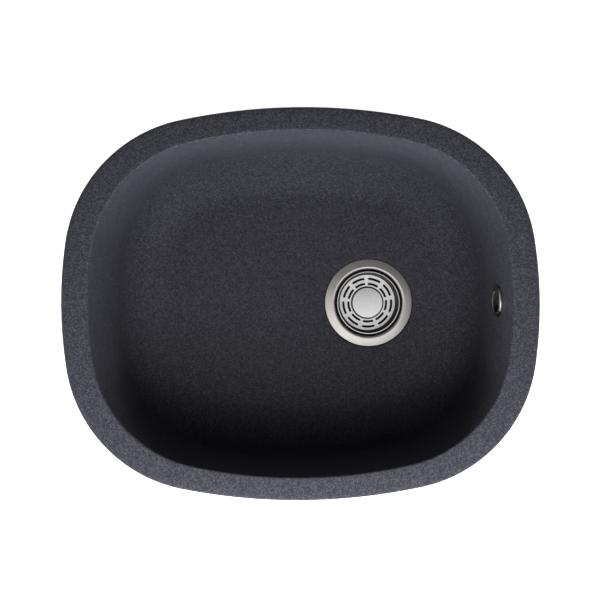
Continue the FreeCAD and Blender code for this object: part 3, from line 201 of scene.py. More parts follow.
# Segments of a rounding and of a full turn on the large turned parts
BEND_STEPS = 8
TURN_STEPS = 160


def grid_mesh(name: str, rings: Sequence[Ring], closed: bool) -> Mesh:
    """Join equal rings of points into a mesh of quads.

    Args:
        name: Name of the mesh.
        rings: Rings of the same number of points; a ring of one point is a pole.
        closed: Whether the last ring joins the first.

    Returns:
        The mesh, in millimetres turned to metres.
    """
    points: list[Vector] = []
    starts: list[int] = []
    for ring in rings:
        starts.append(len(points))
        points.extend(point * MM for point in ring)
    faces: list[tuple[int, ...]] = []
    pairs = list(zip(range(len(rings)), range(1, len(rings))))
    if closed:
        pairs.append((len(rings) - 1, 0))
    for low, high in pairs:
        count = max(len(rings[low]), len(rings[high]))
        for index in range(count):
            after = (index + 1) % count
            quad = [
                starts[low] + index % len(rings[low]),
                starts[low] + after % len(rings[low]),
                starts[high] + after % len(rings[high]),
                starts[high] + index % len(rings[high]),
            ]
            faces.append(tuple(dict.fromkeys(quad)))
    mesh = bpy.data.meshes.new(name)
    mesh.from_pydata([tuple(point) for point in points], [], faces)
    work = bmesh.new()
    work.from_mesh(mesh)
    bmesh.ops.remove_doubles(work, verts=work.verts, dist=WELD)
    return outward(work, mesh)


def outward(work: bmesh.types.BMesh, mesh: Mesh) -> Mesh:
    """Turn every face outwards and write the work back to its mesh.

    Args:
        work: The mesh while it is edited; it is freed here.
        mesh: Where the result goes.

    Returns:
        The mesh.
    """
    bmesh.ops.recalc_face_normals(work, faces=work.faces)
    work.to_mesh(mesh)
    work.free()
    return mesh


def lathe(name: str, profile: Sequence[Corner], steps: int = 128, closed: bool = True) -> Mesh:
    """Turn a profile of (radius, height) points once around Z.

    Args:
        name: Name of the mesh.
        profile: Points in millimetres; a radius of zero makes a pole.
        steps: Segments of the full turn.
        closed: Whether the profile closes on itself away from the axis.

    Returns:
        The turned mesh.
    """
    turn = [2 * math.pi * index / steps for index in range(steps)]
    rings: list[Ring] = []
    for radius, height in profile:
        if radius < POLE_RADIUS:
            rings.append([Vector((0.0, 0.0, height))])
            continue
        rings.append([Vector((radius * math.cos(a), radius * math.sin(a), height)) for a in turn])
    return grid_mesh(name, rings, closed)


def rod(name: str, radius: float, start: float, end: float, steps: int) -> Mesh:
    """Solid cylinder round Z from one height to another, in millimetres."""
    profile = [(0.0, start), (radius, start), (radius, end), (0.0, end)]
    return lathe(name, profile, steps, closed=False)


def prism(name: str, outline: Sequence[Corner], low: float, high: float) -> Mesh:
    """Solid with a flat outline in XY between two heights.

    Args:
        name: Name of the mesh.
        outline: Points in millimetres, in order.
        low: Height of the bottom in millimetres.
        high: Height of the top in millimetres.

    Returns:
        The closed mesh.
    """
    work = bmesh.new()
    layers = []
    for z in (low, high):
        layers.append([work.verts.new((x * MM, y * MM, z * MM)) for x, y in outline])
    bottom, top = layers
    count = len(outline)
    for index in range(count):
        after = (index + 1) % count
        work.faces.new((bottom[index], bottom[after], top[after], top[index]))
    work.faces.new(bottom[::-1])
    work.faces.new(top)
    return outward(work, bpy.data.meshes.new(name))


def box_mesh(name: str, low: Place, high: Place) -> Mesh:
    """Block between two corners, for cutting and for bosses.

    Args:
        name: Name of the mesh.
        low: Its lowest corner in millimetres.
        high: The opposite corner.

    Returns:
        The closed mesh.
    """
    outline = [(low[0], low[1]), (high[0], low[1]), (high[0], high[1]), (low[0], high[1])]
    rings = [[Vector((x, y, z)) for x, y in outline] for z in (low[2], high[2])]
    mesh = grid_mesh(name, rings, closed=False)
    work = bmesh.new()
    work.from_mesh(mesh)
    bmesh.ops.holes_fill(work, edges=work.edges, sides=0)
    return outward(work, mesh)


def sheet_mesh(name: str, half_x: float, half_y: float) -> Mesh:
    """Flat rectangle about the origin, facing up, for the stage.

    Args:
        name: Name of the mesh.
        half_x: Half its size along X in metres.
        half_y: Half its size along Y in metres.

    Returns:
        The mesh.
    """
    corners = [(-half_x, -half_y), (half_x, -half_y), (half_x, half_y), (-half_x, half_y)]
    mesh = bpy.data.meshes.new(name)
    mesh.from_pydata([(x, y, 0.0) for x, y in corners], [], [(0, 1, 2, 3)])
    return mesh


def add_object(name: str, data: bpy.types.ID) -> Item:
    """Link a mesh, a light or a camera to the scene as an object at the origin.

    Args:
        name: Name of the object.
        data: What the object shows.

    Returns:
        The object.
    """
    item = bpy.data.objects.new(name, data)
    bpy.context.scene.collection.objects.link(item)
    return item


def merged(name: str, meshes: Iterable[Mesh]) -> Mesh:
    """One mesh of several, kept as loose shells.

    Args:
        name: Name of the new mesh.
        meshes: The meshes that it is made of.

    Returns:
        The new mesh.
    """
    work = bmesh.new()
    for mesh in meshes:
        work.from_mesh(mesh)
    result = bpy.data.meshes.new(name)
    work.to_mesh(result)
    work.free()
    return result


def moved(mesh: Mesh, place: Matrix) -> Mesh:
    """Carry a mesh to its place in the sink's frame.

    Args:
        mesh: The mesh.
        place: Where its own frame goes.

    Returns:
        The same mesh.
    """
    mesh.transform(place)
    mesh.update()
    return mesh


def baked(item: Item) -> Item:
    """Turn an object's modifiers into its own plain mesh.

    Args:
        item: The object.

    Returns:
        The same object.
    """
    graph = bpy.context.evaluated_depsgraph_get()
    graph.update()
    mesh = bpy.data.meshes.new_from_object(item.evaluated_get(graph))
    item.modifiers.clear()
    item.data = mesh
    return item


def boolean(item: Item, tool: Mesh, kind: Join) -> Item:
    """Cut a mesh out of an object, or join it on.

    Args:
        item: The object to change.
        tool: The other solid.
        kind: Whether the solid is added or cut away.

    Returns:
        The same object with its new mesh.
    """
    helper = add_object("tool", tool)
    change = item.modifiers.new("boolean", "BOOLEAN")
    change.operation = kind.value
    change.solver = "EXACT"
    change.use_self = True
    change.object = helper
    baked(item)
    bpy.data.objects.remove(helper)
    return item


def smooth(item: Item, angle: float = CRISP_DEGREES) -> Item:
    """Shade smooth, with edges sharper than an angle kept crisp.

    Args:
        item: The object.
        angle: The angle in degrees.

    Returns:
        The same object.
    """
    item.data.shade_smooth()
    item.data.set_sharp_from_angle(angle=math.radians(angle))
    return item


def soften(item: Item, width: float, segments: int = 2, sharp: float = 35.0) -> Item:
    """Round an object's sharp edges a little, as moulding and tumbling do.

    Args:
        item: The object.
        width: Width of the rounding in millimetres.
        segments: Faces across the rounding.
        sharp: Edges flatter than this, in degrees, stay as they are.

    Returns:
        The same object.
    """
    change = item.modifiers.new("soften", "BEVEL")
    change.width = width * MM
    change.segments = segments
    change.limit_method = "ANGLE"
    change.angle_limit = math.radians(sharp)
    change.use_clamp_overlap = True
    baked(item)
    return smooth(item, SOFTENED_DEGREES)


def from_cad(name: str, node: str) -> Item:
    """A welded copy of a CAD node, ready for finer edges.

    Args:
        name: Name of the new object.
        node: Name of the CAD node.

    Returns:
        The new object.
    """
    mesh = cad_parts[node].data.copy()
    mesh.materials.clear()
    work = bmesh.new()
    work.from_mesh(mesh)
    bmesh.ops.remove_doubles(work, verts=work.verts, dist=CAD_WELD)
    flat = math.radians(FLAT_DEGREES)
    bmesh.ops.dissolve_limit(work, angle_limit=flat, verts=work.verts, edges=work.edges)
    return add_object(name, outward(work, mesh))


# Node helpers and shared node groups


class Tree:
    """Short forms for filling a node tree."""

    def __init__(self, tree: NodeTree) -> None:
        """Keep the tree that the other methods fill."""
        self.tree = tree

    def add(self, kind: str, **values: object) -> Node:
        """Add a node.

        Args:
            kind: The node's type.
            **values: Its properties by name.

        Returns:
            The node.
        """
        node = self.tree.nodes.new(kind)
        for key, value in values.items():
            setattr(node, key, value)
        return node

    def link(self, start: Socket, end: Socket) -> None:
        """Join two sockets."""
        self.tree.links.new(start, end)

    def feed(self, value: object, end: Socket) -> None:
        """Link a socket to another, or set a plain value on it.

        Args:
            value: A socket or a plain value.
            end: The socket that takes it.
        """
        if isinstance(value, Socket):
            self.link(value, end)
        else:
            end.default_value = value

    def math(self, operation: str, *inputs: object) -> Socket:
        """Add a Math node.

        Args:
            operation: What it does.
            *inputs: Sockets or numbers.

        Returns:
            Its result.
        """
        node = self.add("ShaderNodeMath", operation=operation)
        for index, value in enumerate(inputs):
            self.feed(value, node.inputs[index])
        return node.outputs[0]

    def clamped(self, value: Socket) -> Socket:
        """Keep a value between 0 and 1."""
        return self.math("MINIMUM", self.math("MAXIMUM", value, 0.0), 1.0)

    def length(self, across: Socket, along: Socket) -> Socket:
        """Distance from the Z axis of a point given by its X and Y."""
        square = self.math("MULTIPLY", along, along)
        return self.math("SQRT", self.math("ADD", self.math("MULTIPLY", across, across), square))

    def noise(self, vector: Socket, scale: object, detail: float) -> Socket:
        """Add a noise texture.

        Args:
            vector: Where it is read.
            scale: Its scale, a socket or a number.
            detail: How many octaves it has.

        Returns:
            Its value.
        """
        node = self.add("ShaderNodeTexNoise")
        node.inputs["Detail"].default_value = detail
        self.link(vector, node.inputs["Vector"])
        self.feed(scale, node.inputs["Scale"])
        return node.outputs["Fac"]

    def cells(self, vector: Socket, scale: Socket, channel: str) -> Socket:
        """Add a texture of cells, each with an even value of its own.

        Args:
            vector: Where it is read.
            scale: Its scale.
            channel: Which channel of the cells' random colours is used.

        Returns:
            That channel.
        """
        node = self.add("ShaderNodeTexVoronoi", feature="F1")
        self.link(vector, node.inputs["Vector"])
        self.link(scale, node.inputs["Scale"])
        tone = self.add("ShaderNodeSeparateColor")
        self.link(node.outputs["Color"], tone.inputs["Color"])
        return tone.outputs[channel]

    def blend(self, end: Socket, target: object, mask: Socket) -> None:
        """Mix what already feeds a socket towards a fixed value.

        Args:
            end: The socket, which has a link.
            target: The value where the mask is 1, a colour with alpha or a number.
            mask: The mask.
        """
        kind = "RGBA" if isinstance(target, tuple) else "FLOAT"
        mix = self.add("ShaderNodeMix", data_type=kind)
        self.link(end.links[0].from_socket, mix.inputs["A"])
        mix.inputs["B"].default_value = target
        self.link(mask, mix.inputs["Factor"])
        self.link(mix.outputs["Result"], end)

    def glow(self, strength: float) -> Socket:
        """Add a plain white glow.

        Args:
            strength: Its strength.

        Returns:
            Its shader.
        """
        node = self.add("ShaderNodeEmission")
        node.inputs["Strength"].default_value = strength
        return node.outputs[0]

    def mix_shaders(self, share: Socket, first: Socket, second: Socket) -> Socket:
        """Mix two shaders.

        Args:
            share: How much of the second there is.
            first: The shader at a share of 0.
            second: The shader at a share of 1.

        Returns:
            The mixed shader.
        """
        node = self.add("ShaderNodeMixShader")
        self.link(share, node.inputs["Fac"])
        self.link(first, node.inputs[1])
        self.link(second, node.inputs[2])
        return node.outputs[0]

    def seen(self) -> Socket:
        """Is 1 for what the camera sees straight, mirrored or through glass.

        Returns:
            The mask, from the light's path.
        """
        path = self.add("ShaderNodeLightPath")
        seen = self.math("MAXIMUM", path.outputs["Is Camera Ray"], path.outputs["Is Glossy Ray"])
        return self.math("MAXIMUM", seen, path.outputs["Is Transmission Ray"])


Group = tuple[NodeTree, Tree, Node, Node]
Inputs = Sequence[tuple[str, str, object]]


def add_sockets(group: NodeTree, sockets: Inputs, way: str) -> None:
    """Give a node group its named sockets.

    Args:
        group: The group.
        sockets: Socket name, short socket type and default value, or None for the type's own.
        way: INPUT or OUTPUT.
    """
    for label, kind, value in sockets:
        socket = group.interface.new_socket(label, in_out=way, socket_type=f"NodeSocket{kind}")
        if value is not None:
            socket.default_value = value


def shader_group(name: str, inputs: Inputs, outputs: Sequence[str]) -> Group:
    """Start a shader node group that reads a vector and puts out numbers.

    Args:
        name: Name of the group.
        inputs: Its further inputs, as add_sockets takes them.
        outputs: Names of its outputs.

    Returns:
        The group, its short forms, and its input and output nodes.
    """
    group = bpy.data.node_groups.new(name, "ShaderNodeTree")
    add_sockets(group, [("Vector", "Vector", None), *inputs], "INPUT")
    add_sockets(group, [(label, "Float", None) for label in outputs], "OUTPUT")
    tree = Tree(group)
    return group, tree, tree.add("NodeGroupInput"), tree.add("NodeGroupOutput")


def geometry_group(name: str, inputs: Inputs) -> Group:
    """Start a geometry node group that takes a material.

    Args:
        name: Name of the group.
        inputs: Its further inputs, as add_sockets takes them.

    Returns:
        The group, its short forms, and its input and output nodes.
    """
    group = bpy.data.node_groups.new(name, "GeometryNodeTree")
    group.is_modifier = True
    geometry = ("Geometry", "Geometry", None)
    add_sockets(group, [geometry, *inputs, ("Material", "Material", None)], "INPUT")
    add_sockets(group, [geometry], "OUTPUT")
    tree = Tree(group)
    return group, tree, tree.add("NodeGroupInput"), tree.add("NodeGroupOutput")


def finish_geometry(tree: Tree, start: Node, end: Node, result: Socket) -> None:
    """Make the copies real and give them their material.

    Args:
        tree: Short forms of the group.
        start: The group's input node.
        end: The group's output node.
        result: The geometry so far.
    """
    real = tree.add("GeometryNodeRealizeInstances")
    paint = tree.add("GeometryNodeSetMaterial")
    tree.link(result, real.inputs["Geometry"])
    tree.link(real.outputs["Geometry"], paint.inputs["Geometry"])
    tree.link(start.outputs["Material"], paint.inputs["Material"])
    tree.link(paint.outputs["Geometry"], end.inputs["Geometry"])


def swept(tree: Tree, curve: Socket, sides: object, scale: Socket) -> Node:
    """Sweep a circle along a curve.

    Args:
        tree: Short forms of the group.
        curve: The curve.
        sides: Sides of the circle, a socket or a number.
        scale: Radius of the circle along the curve.

    Returns:
        The sweep's node.
    """
    section = tree.add("GeometryNodeCurvePrimitiveCircle")
    section.inputs["Radius"].default_value = 1.0
    tree.feed(sides, section.inputs["Resolution"])
    sweep = tree.add("GeometryNodeCurveToMesh")
    tree.link(curve, sweep.inputs["Curve"])
    tree.link(section.outputs["Curve"], sweep.inputs["Profile Curve"])
    tree.link(scale, sweep.inputs["Scale"])
    return sweep


def ring_array_group() -> NodeTree:
    """Copies of a shape set evenly round the Z axis.

    Returns:
        The group; its angles are in radians.
    """
    group, tree, start, end = geometry_group(
        "ring_array", [("Count", "Int", 6), ("First", "Float", 0.0), ("Sweep", "Float", math.tau)]
    )
    points = tree.add("GeometryNodePoints")
    tree.link(start.outputs["Count"], points.inputs["Count"])
    step = tree.math("DIVIDE", start.outputs["Sweep"], start.outputs["Count"])
    index = tree.add("GeometryNodeInputIndex")
    swung = tree.math("MULTIPLY", index.outputs["Index"], step)
    angle = tree.math("ADD", swung, start.outputs["First"])
    turn = tree.add("ShaderNodeCombineXYZ")
    tree.link(angle, turn.inputs["Z"])
    copies = tree.add("GeometryNodeInstanceOnPoints")
    tree.link(points.outputs[0], copies.inputs["Points"])
    tree.link(start.outputs["Geometry"], copies.inputs["Instance"])
    tree.link(turn.outputs["Vector"], copies.inputs["Rotation"])
    finish_geometry(tree, start, end, copies.outputs["Instances"])
    return group


def thread_group() -> NodeTree:
    """Helical ridge of a screw thread, fading out over its last turns.

    Returns:
        The group; its lengths are in metres.
    """
    ridge_sides, least_width = 4, 0.05
    group, tree, start, end = geometry_group(
        "thread_ridge",
        [
            ("Radius", "Float", 0.0025),
            ("Depth", "Float", 0.0004),
            ("Pitch", "Float", 0.0008),
            ("Length", "Float", 0.03),
            ("Low", "Float", 0.0),
            ("Steps", "Int", 32),
        ],
    )
    turns = tree.math("DIVIDE", start.outputs["Length"], start.outputs["Pitch"])
    root = tree.math("SUBTRACT", start.outputs["Radius"], start.outputs["Depth"])
    helix = tree.add("GeometryNodeCurveSpiral")
    tree.link(start.outputs["Steps"], helix.inputs["Resolution"])
    tree.link(turns, helix.inputs["Rotations"])
    tree.link(root, helix.inputs["Start Radius"])
    tree.link(root, helix.inputs["End Radius"])
    tree.link(start.outputs["Length"], helix.inputs["Height"])
    raised = tree.add("GeometryNodeSetPosition")
    lift = tree.add("ShaderNodeCombineXYZ")
    tree.link(start.outputs["Low"], lift.inputs["Z"])
    tree.link(helix.outputs[0], raised.inputs["Geometry"])
    tree.link(lift.outputs["Vector"], raised.inputs["Offset"])
    place = tree.add("GeometryNodeSplineParameter")
    rest = tree.math("SUBTRACT", 1.0, place.outputs["Factor"])
    ends = tree.math("MULTIPLY", tree.math("MINIMUM", place.outputs["Factor"], rest), turns)
    width = tree.math("MAXIMUM", tree.math("MINIMUM", ends, 1.0), least_width)
    scale = tree.math("MULTIPLY", width, start.outputs["Depth"])
    sweep = swept(tree, raised.outputs["Geometry"], ridge_sides, scale)
    sweep.inputs["Fill Caps"].default_value = True
    finish_geometry(tree, start, end, sweep.outputs["Mesh"])
    return group


def ribbed_tube_group() -> NodeTree:
    """Tube along a path, its radius waving between plain cuffs.

    Returns:
        The group; its lengths are in metres.
    """
    group, tree, start, end = geometry_group(
        "ribbed_tube",
        [
            ("Radius", "Float", 0.01),
            ("Depth", "Float", 0.001),
            ("Pitch", "Float", 0.004),
            ("Cuff", "Float", 0.02),
            ("Step", "Float", 0.0005),
            ("Sides", "Int", 36),
        ],
    )
    line = tree.add("GeometryNodeMeshToCurve")
    tree.link(start.outputs["Geometry"], line.inputs["Mesh"])
    even = tree.add("GeometryNodeResampleCurve", mode="LENGTH")
    tree.link(line.outputs["Curve"], even.inputs["Curve"])
    tree.link(start.outputs["Step"], even.inputs["Length"])
    place = tree.add("GeometryNodeSplineParameter")
    span = tree.add("GeometryNodeSplineLength")
    rest = tree.math("SUBTRACT", span.outputs["Length"], place.outputs["Length"])
    from_end = tree.math("MINIMUM", place.outputs["Length"], rest)
    near = tree.math("SUBTRACT", from_end, start.outputs["Cuff"])
    fade = tree.clamped(tree.math("DIVIDE", near, start.outputs["Pitch"]))
    turn = tree.math("DIVIDE", tree.math("MULTIPLY", near, math.tau), start.outputs["Pitch"])
    wave = tree.math("MULTIPLY", tree.math("SUBTRACT", 1.0, tree.math("COSINE", turn)), 0.5)
    dip = tree.math("MULTIPLY", tree.math("MULTIPLY", wave, fade), start.outputs["Depth"])
    scale = tree.math("SUBTRACT", start.outputs["Radius"], dip)
    sweep = swept(tree, even.outputs["Curve"], start.outputs["Sides"], scale)
    finish_geometry(tree, start, end, sweep.outputs["Mesh"])
    return group


def speckle_group() -> NodeTree:
    """Pale mineral flecks of two sizes scattered through a dark body.

    Returns:
        The group.
    """
    coarse_share, cloud_share, pit_share = 0.55, 0.04, 1.3
    fine_power, coarse_power, coarse_weight = 2.2, 4.0, 0.5
    group, tree, start, end = shader_group(
        "mineral_flecks",
        [("Scale", "Float", 700.0), ("Amount", "Float", 0.5)],
        ["Flecks", "Cloud", "Height"],
    )
    vector, scale = start.outputs["Vector"], start.outputs["Scale"]
    fine = tree.math("POWER", tree.cells(vector, scale, "Red"), fine_power)
    coarse_cells = tree.cells(vector, tree.math("MULTIPLY", scale, coarse_share), "Green")
    coarse = tree.math("POWER", coarse_cells, coarse_power)
    total = tree.math("ADD", fine, tree.math("MULTIPLY", coarse, coarse_weight))
    tree.link(tree.math("MULTIPLY", total, start.outputs["Amount"]), end.inputs["Flecks"])
    cloud = tree.noise(vector, tree.math("MULTIPLY", scale, cloud_share), detail=3.0)
    tree.link(cloud, end.inputs["Cloud"])
    pits = tree.noise(vector, tree.math("MULTIPLY", scale, pit_share), detail=2.0)
    tree.link(pits, end.inputs["Height"])
    return group


def turned_group() -> NodeTree:
    """Fine lines round a Z axis, as left by polishing on a lathe.

    Returns:
        The group.
    """
    wobble, streak_scale = 1.6, 55.0
    group, tree, start, end = shader_group(
        "turned_lines", [("Lines", "Float", 900.0)], ["Lines", "Streaks"]
    )
    parts = tree.add("ShaderNodeSeparateXYZ")
    tree.link(start.outputs["Vector"], parts.inputs["Vector"])
    across, along = parts.outputs["X"], parts.outputs["Y"]
    radius = tree.length(across, along)
    angle = tree.math("ARCTAN2", along, across)
    ring = tree.add("ShaderNodeCombineXYZ")
    tree.link(tree.math("MULTIPLY", radius, start.outputs["Lines"]), ring.inputs["X"])
    tree.link(tree.math("MULTIPLY", tree.math("SINE", angle), wobble), ring.inputs["Y"])
    height = tree.math("MULTIPLY", parts.outputs["Z"], start.outputs["Lines"])
    swing = tree.math("MULTIPLY", tree.math("COSINE", angle), wobble)
    tree.link(tree.math("ADD", height, swing), ring.inputs["Z"])
    tree.link(tree.noise(ring.outputs["Vector"], 1.0, detail=3.0), end.inputs["Lines"])
    streaks = tree.noise(start.outputs["Vector"], streak_scale, detail=2.0)
    tree.link(streaks, end.inputs["Streaks"])
    return group


def mould_group() -> NodeTree:
    """Fine even texture and slow unevenness of moulded plastic and rubber.

    Returns:
        The group.
    """
    group, tree, start, end = shader_group(
        "mould_texture", [("Scale", "Float", 1800.0)], ["Grain", "Cloud"]
    )
    for label, scale_share, detail in (("Grain", 1.0, 2.0), ("Cloud", 0.03, 4.0)):
        scale = tree.math("MULTIPLY", start.outputs["Scale"], scale_share)
        tree.link(tree.noise(start.outputs["Vector"], scale, detail), end.inputs[label])
    return group


def zone_group() -> NodeTree:
    """Soft-edged mask of a window in radius, which may flare, and height about a Z axis, where
    shade is painted.

    Returns:
        The group; its lengths are in metres.
    """
    group, tree, start, end = shader_group(
        "painted_shade_zone",
        [
            ("Inner", "Float", 0.0),
            ("Outer", "Float", 1.0),
            ("Low", "Float", -1.0),
            ("High", "Float", 1.0),
            ("Slope", "Float", 0.0),
            ("Blur", "Float", 0.0006),
        ],
        ["Mask"],
    )
    parts = tree.add("ShaderNodeSeparateXYZ")
    tree.link(start.outputs["Vector"], parts.inputs["Vector"])
    height = parts.outputs["Z"]
    flare = tree.math("MULTIPLY", height, start.outputs["Slope"])
    radius = tree.math("SUBTRACT", tree.length(parts.outputs["X"], parts.outputs["Y"]), flare)
    rows = (("Inner", radius, 1), ("Outer", radius, -1), ("Low", height, 1), ("High", height, -1))
    total = None
    for name, value, way in rows:
        past = tree.math("MULTIPLY", tree.math("SUBTRACT", value, start.outputs[name]), way)
        ramp = tree.math("ADD", tree.math("DIVIDE", past, start.outputs["Blur"]), 0.5)
        step = tree.clamped(ramp)
        total = step if total is None else tree.math("MULTIPLY", total, step)
    tree.link(total, end.inputs["Mask"])
    return group


BACK = "back"
GROUPS: dict[str, NodeTree] = {}


def shared_group(maker: Callable[[], NodeTree]) -> NodeTree:
    """Build a shared node group once and hand out the same one after that.

    Args:
        maker: Function that builds the group.

    Returns:
        The group.
    """
    if maker.__name__ not in GROUPS:
        GROUPS[maker.__name__] = maker()
    return GROUPS[maker.__name__]


def grow(
    mesh: Mesh,
    maker: Callable[[], NodeTree],
    finish: Optional["Finish"] = None,
    **values: object,
) -> Mesh:
    """Run a geometry node group on a mesh and keep the result.

    Args:
        mesh: The group's input geometry.
        maker: Function that builds the group.
        finish: Finish handed to the group's Set Material node.
        **values: Values of the group's named inputs.

    Returns:
        The grown mesh.
    """
    group = shared_group(maker)
    item = add_object("seed", mesh)
    change = item.modifiers.new("grow", "NODES")
    change.node_group = group
    if finish is not None:
        values["Material"] = material_of(finish)
    for socket in group.interface.items_tree:
        if socket.in_out == "INPUT" and socket.name in values:
            change[socket.identifier] = values[socket.name]
    baked(item)
    result = item.data
    bpy.data.objects.remove(item)
    return result


# Finishes


@dataclass(frozen=True)
class Finish:
    """A finish with its own colour and gloss; subclasses add their texture."""

    name: str
    colour: Colour
    roughness: float = 0.5
    metallic: float = 0.0
    sheen_level: float = 0.5

    def start(self) -> tuple[bpy.types.Material, Tree, Node, Socket]:
        """Make the material with its shader.

        Returns:
            The material, its short forms, its shader and the object's coordinates.
        """
        material = bpy.data.materials.new(self.name)
        material.use_nodes = True
        tree = Tree(material.node_tree)
        shader = material.node_tree.nodes["Principled BSDF"]
        shader.inputs["Base Color"].default_value = (*self.colour, 1.0)
        shader.inputs["Roughness"].default_value = self.roughness
        shader.inputs["Metallic"].default_value = self.metallic
        shader.inputs["Specular IOR Level"].default_value = self.sheen_level
        place = tree.add("ShaderNodeTexCoord")
        return material, tree, shader, place.outputs["Object"]

    def group(
        self, tree: Tree, maker: Callable[[], NodeTree], vector: Socket, **values: float
    ) -> Node:
        """Place a shared group in the material.

        Args:
            tree: The material's tree.
            maker: Function that builds the group.
            vector: Where the group is read.
            **values: Values of its other inputs.

        Returns:
            The group's node.
        """
        node = tree.add("ShaderNodeGroup", node_tree=shared_group(maker))
        tree.link(vector, node.inputs["Vector"])
        for key, value in values.items():
            node.inputs[key].default_value = value
        return node

    def spread(self, tree: Tree, shader: Node, mask: Socket, low: Colour, high: Colour) -> None:
        """Run the base colour between two tones.

        Args:
            tree: The material's tree.
            shader: Its shader.
            mask: Which tone is where.
            low: The tone where the mask is 0.
            high: The tone where it is 1.
        """
        mix = tree.add("ShaderNodeMix", data_type="RGBA")
        mix.inputs["A"].default_value = (*low, 1.0)
        mix.inputs["B"].default_value = (*high, 1.0)
        tree.link(mask, mix.inputs["Factor"])
        tree.link(mix.outputs["Result"], shader.inputs["Base Color"])

    def vary_roughness(self, tree: Tree, shader: Node, mask: Socket, swing: float) -> None:
        """Let the roughness move a little either side of its value.

        Args:
            tree: The material's tree.
            shader: Its shader.
            mask: Which way it moves where.
            swing: How far it moves.
        """
        span = tree.add("ShaderNodeMapRange")
        span.inputs["To Min"].default_value = self.roughness - swing
        span.inputs["To Max"].default_value = self.roughness + swing
        tree.link(mask, span.inputs["Value"])
        tree.link(span.outputs["Result"], shader.inputs["Roughness"])

    def bump(
        self, tree: Tree, shader: Node, height: Socket, strength: float, depth: float
    ) -> None:
        """Raise the surface by a height field.

        Args:
            tree: The material's tree.
            shader: Its shader.
            height: The height field.
            strength: How much of it shows.
            depth: Its depth in millimetres.
        """
        node = tree.add("ShaderNodeBump")
        node.inputs["Strength"].default_value = strength
        node.inputs["Distance"].default_value = depth * MM
        tree.link(height, node.inputs["Height"])
        tree.link(node.outputs["Normal"], shader.inputs["Normal"])


@dataclass(frozen=True)
class Quartz(Finish):
    """Cast composite: near-black body with fine pale flecks and a silky face."""

    fleck: Colour = (0.225, 0.227, 0.276)
    scale: float = 980.0
    amount: float = 0.35
    swing: float = 0.07
    pit_strength: float = 0.25
    pit_depth: float = 0.05
    dust: Colour = (0.085, 0.085, 0.09)
    dust_amount: float = 0.7
    raw_roughness: float = 0.78

    def build(self) -> bpy.types.Material:
        """Make the material.

        Returns:
            The material.
        """
        material, tree, shader, place = self.start()
        flecks = self.group(tree, speckle_group, place, Scale=self.scale, Amount=self.amount)
        self.spread(tree, shader, flecks.outputs["Flecks"], self.colour, self.fleck)
        self.vary_roughness(tree, shader, flecks.outputs["Cloud"], self.swing)
        self.bump(tree, shader, flecks.outputs["Height"], self.pit_strength, self.pit_depth)
        self.raw_back(tree, shader, flecks.outputs["Cloud"])
        return material

    def raw_back(self, tree: Tree, shader: Node, cloud: Socket) -> None:
        """Make the unseen side dull and dusty, as it leaves the mould.

        Args:
            tree: The material's tree.
            shader: Its shader.
            cloud: Where the dust lies thicker.
        """
        back = tree.add("ShaderNodeAttribute", attribute_name=BACK)
        dusty = tree.math("MULTIPLY", back.outputs["Fac"], cloud)
        share = tree.math("MULTIPLY", dusty, self.dust_amount)
        tree.blend(shader.inputs["Base Color"], (*self.dust, 1.0), share)
        tree.blend(shader.inputs["Roughness"], self.raw_roughness, back.outputs["Fac"])


@dataclass(frozen=True)
class Zone:
    """A ring of painted shade on metal: darker, rougher and less metallic where shade falls, in
    metres.
    """

    inner: float
    outer: float
    low: float
    high: float
    shade: float
    roughness: float
    slope: float = 0.0
    blur: float = 0.0006

    def inputs(self) -> dict[str, float]:
        """Values of the zone mask's named inputs."""
        names = ("Inner", "Outer", "Low", "High", "Slope", "Blur")
        return {name: getattr(self, name.lower()) for name in names}


@dataclass(frozen=True)
class Turned(Finish):
    """Metal polished on a lathe, with its lines round an axis."""

    zones: tuple[Zone, ...] = ()
    axis: Place = (0.0, 0.0, 0.0)
    tilt: float = 0.0
    shade: float = 0.8
    lines: float = 900.0
    strength: float = 0.12
    depth: float = 0.03
    swing: float = 0.06

    def build(self) -> bpy.types.Material:
        """Make the material.

        Returns:
            The material.
        """
        material, tree, shader, place = self.start()
        mapping = tree.add("ShaderNodeMapping", vector_type="TEXTURE")
        mapping.inputs["Location"].default_value = self.axis
        mapping.inputs["Rotation"].default_value = (0.0, self.tilt, 0.0)
        tree.link(place, mapping.inputs["Vector"])
        lines = self.group(tree, turned_group, mapping.outputs["Vector"], Lines=self.lines)
        low = tuple(channel * self.shade for channel in self.colour)
        self.spread(tree, shader, lines.outputs["Lines"], low, self.colour)
        self.vary_roughness(tree, shader, lines.outputs["Streaks"], self.swing)
        self.bump(tree, shader, lines.outputs["Lines"], self.strength, self.depth)
        for zone in self.zones:
            self.dull(tree, shader, mapping.outputs["Vector"], zone)
        return material

    def dull(self, tree: Tree, shader: Node, vector: Socket, zone: Zone) -> None:
        """Paint shade on the metal inside a zone: darken it, roughen it and take away its metal.

        Args:
            tree: The material's tree.
            shader: Its shader.
            vector: Coordinates about the lathe's axis.
            zone: The zone.
        """
        # Painted shade: the zone's colour is darkened towards black.
        mask = self.group(tree, zone_group, vector, **zone.inputs()).outputs["Mask"]
        dark = tuple(channel * zone.shade for channel in self.colour)
        tree.blend(shader.inputs["Base Color"], (*dark, 1.0), mask)
        tree.blend(shader.inputs["Roughness"], zone.roughness, mask)
        metal = shader.inputs["Metallic"]
        before = metal.links[0].from_socket if metal.is_linked else metal.default_value
        bare = tree.math("SUBTRACT", 1.0, mask)
        tree.link(tree.math("MULTIPLY", bare, before), metal)


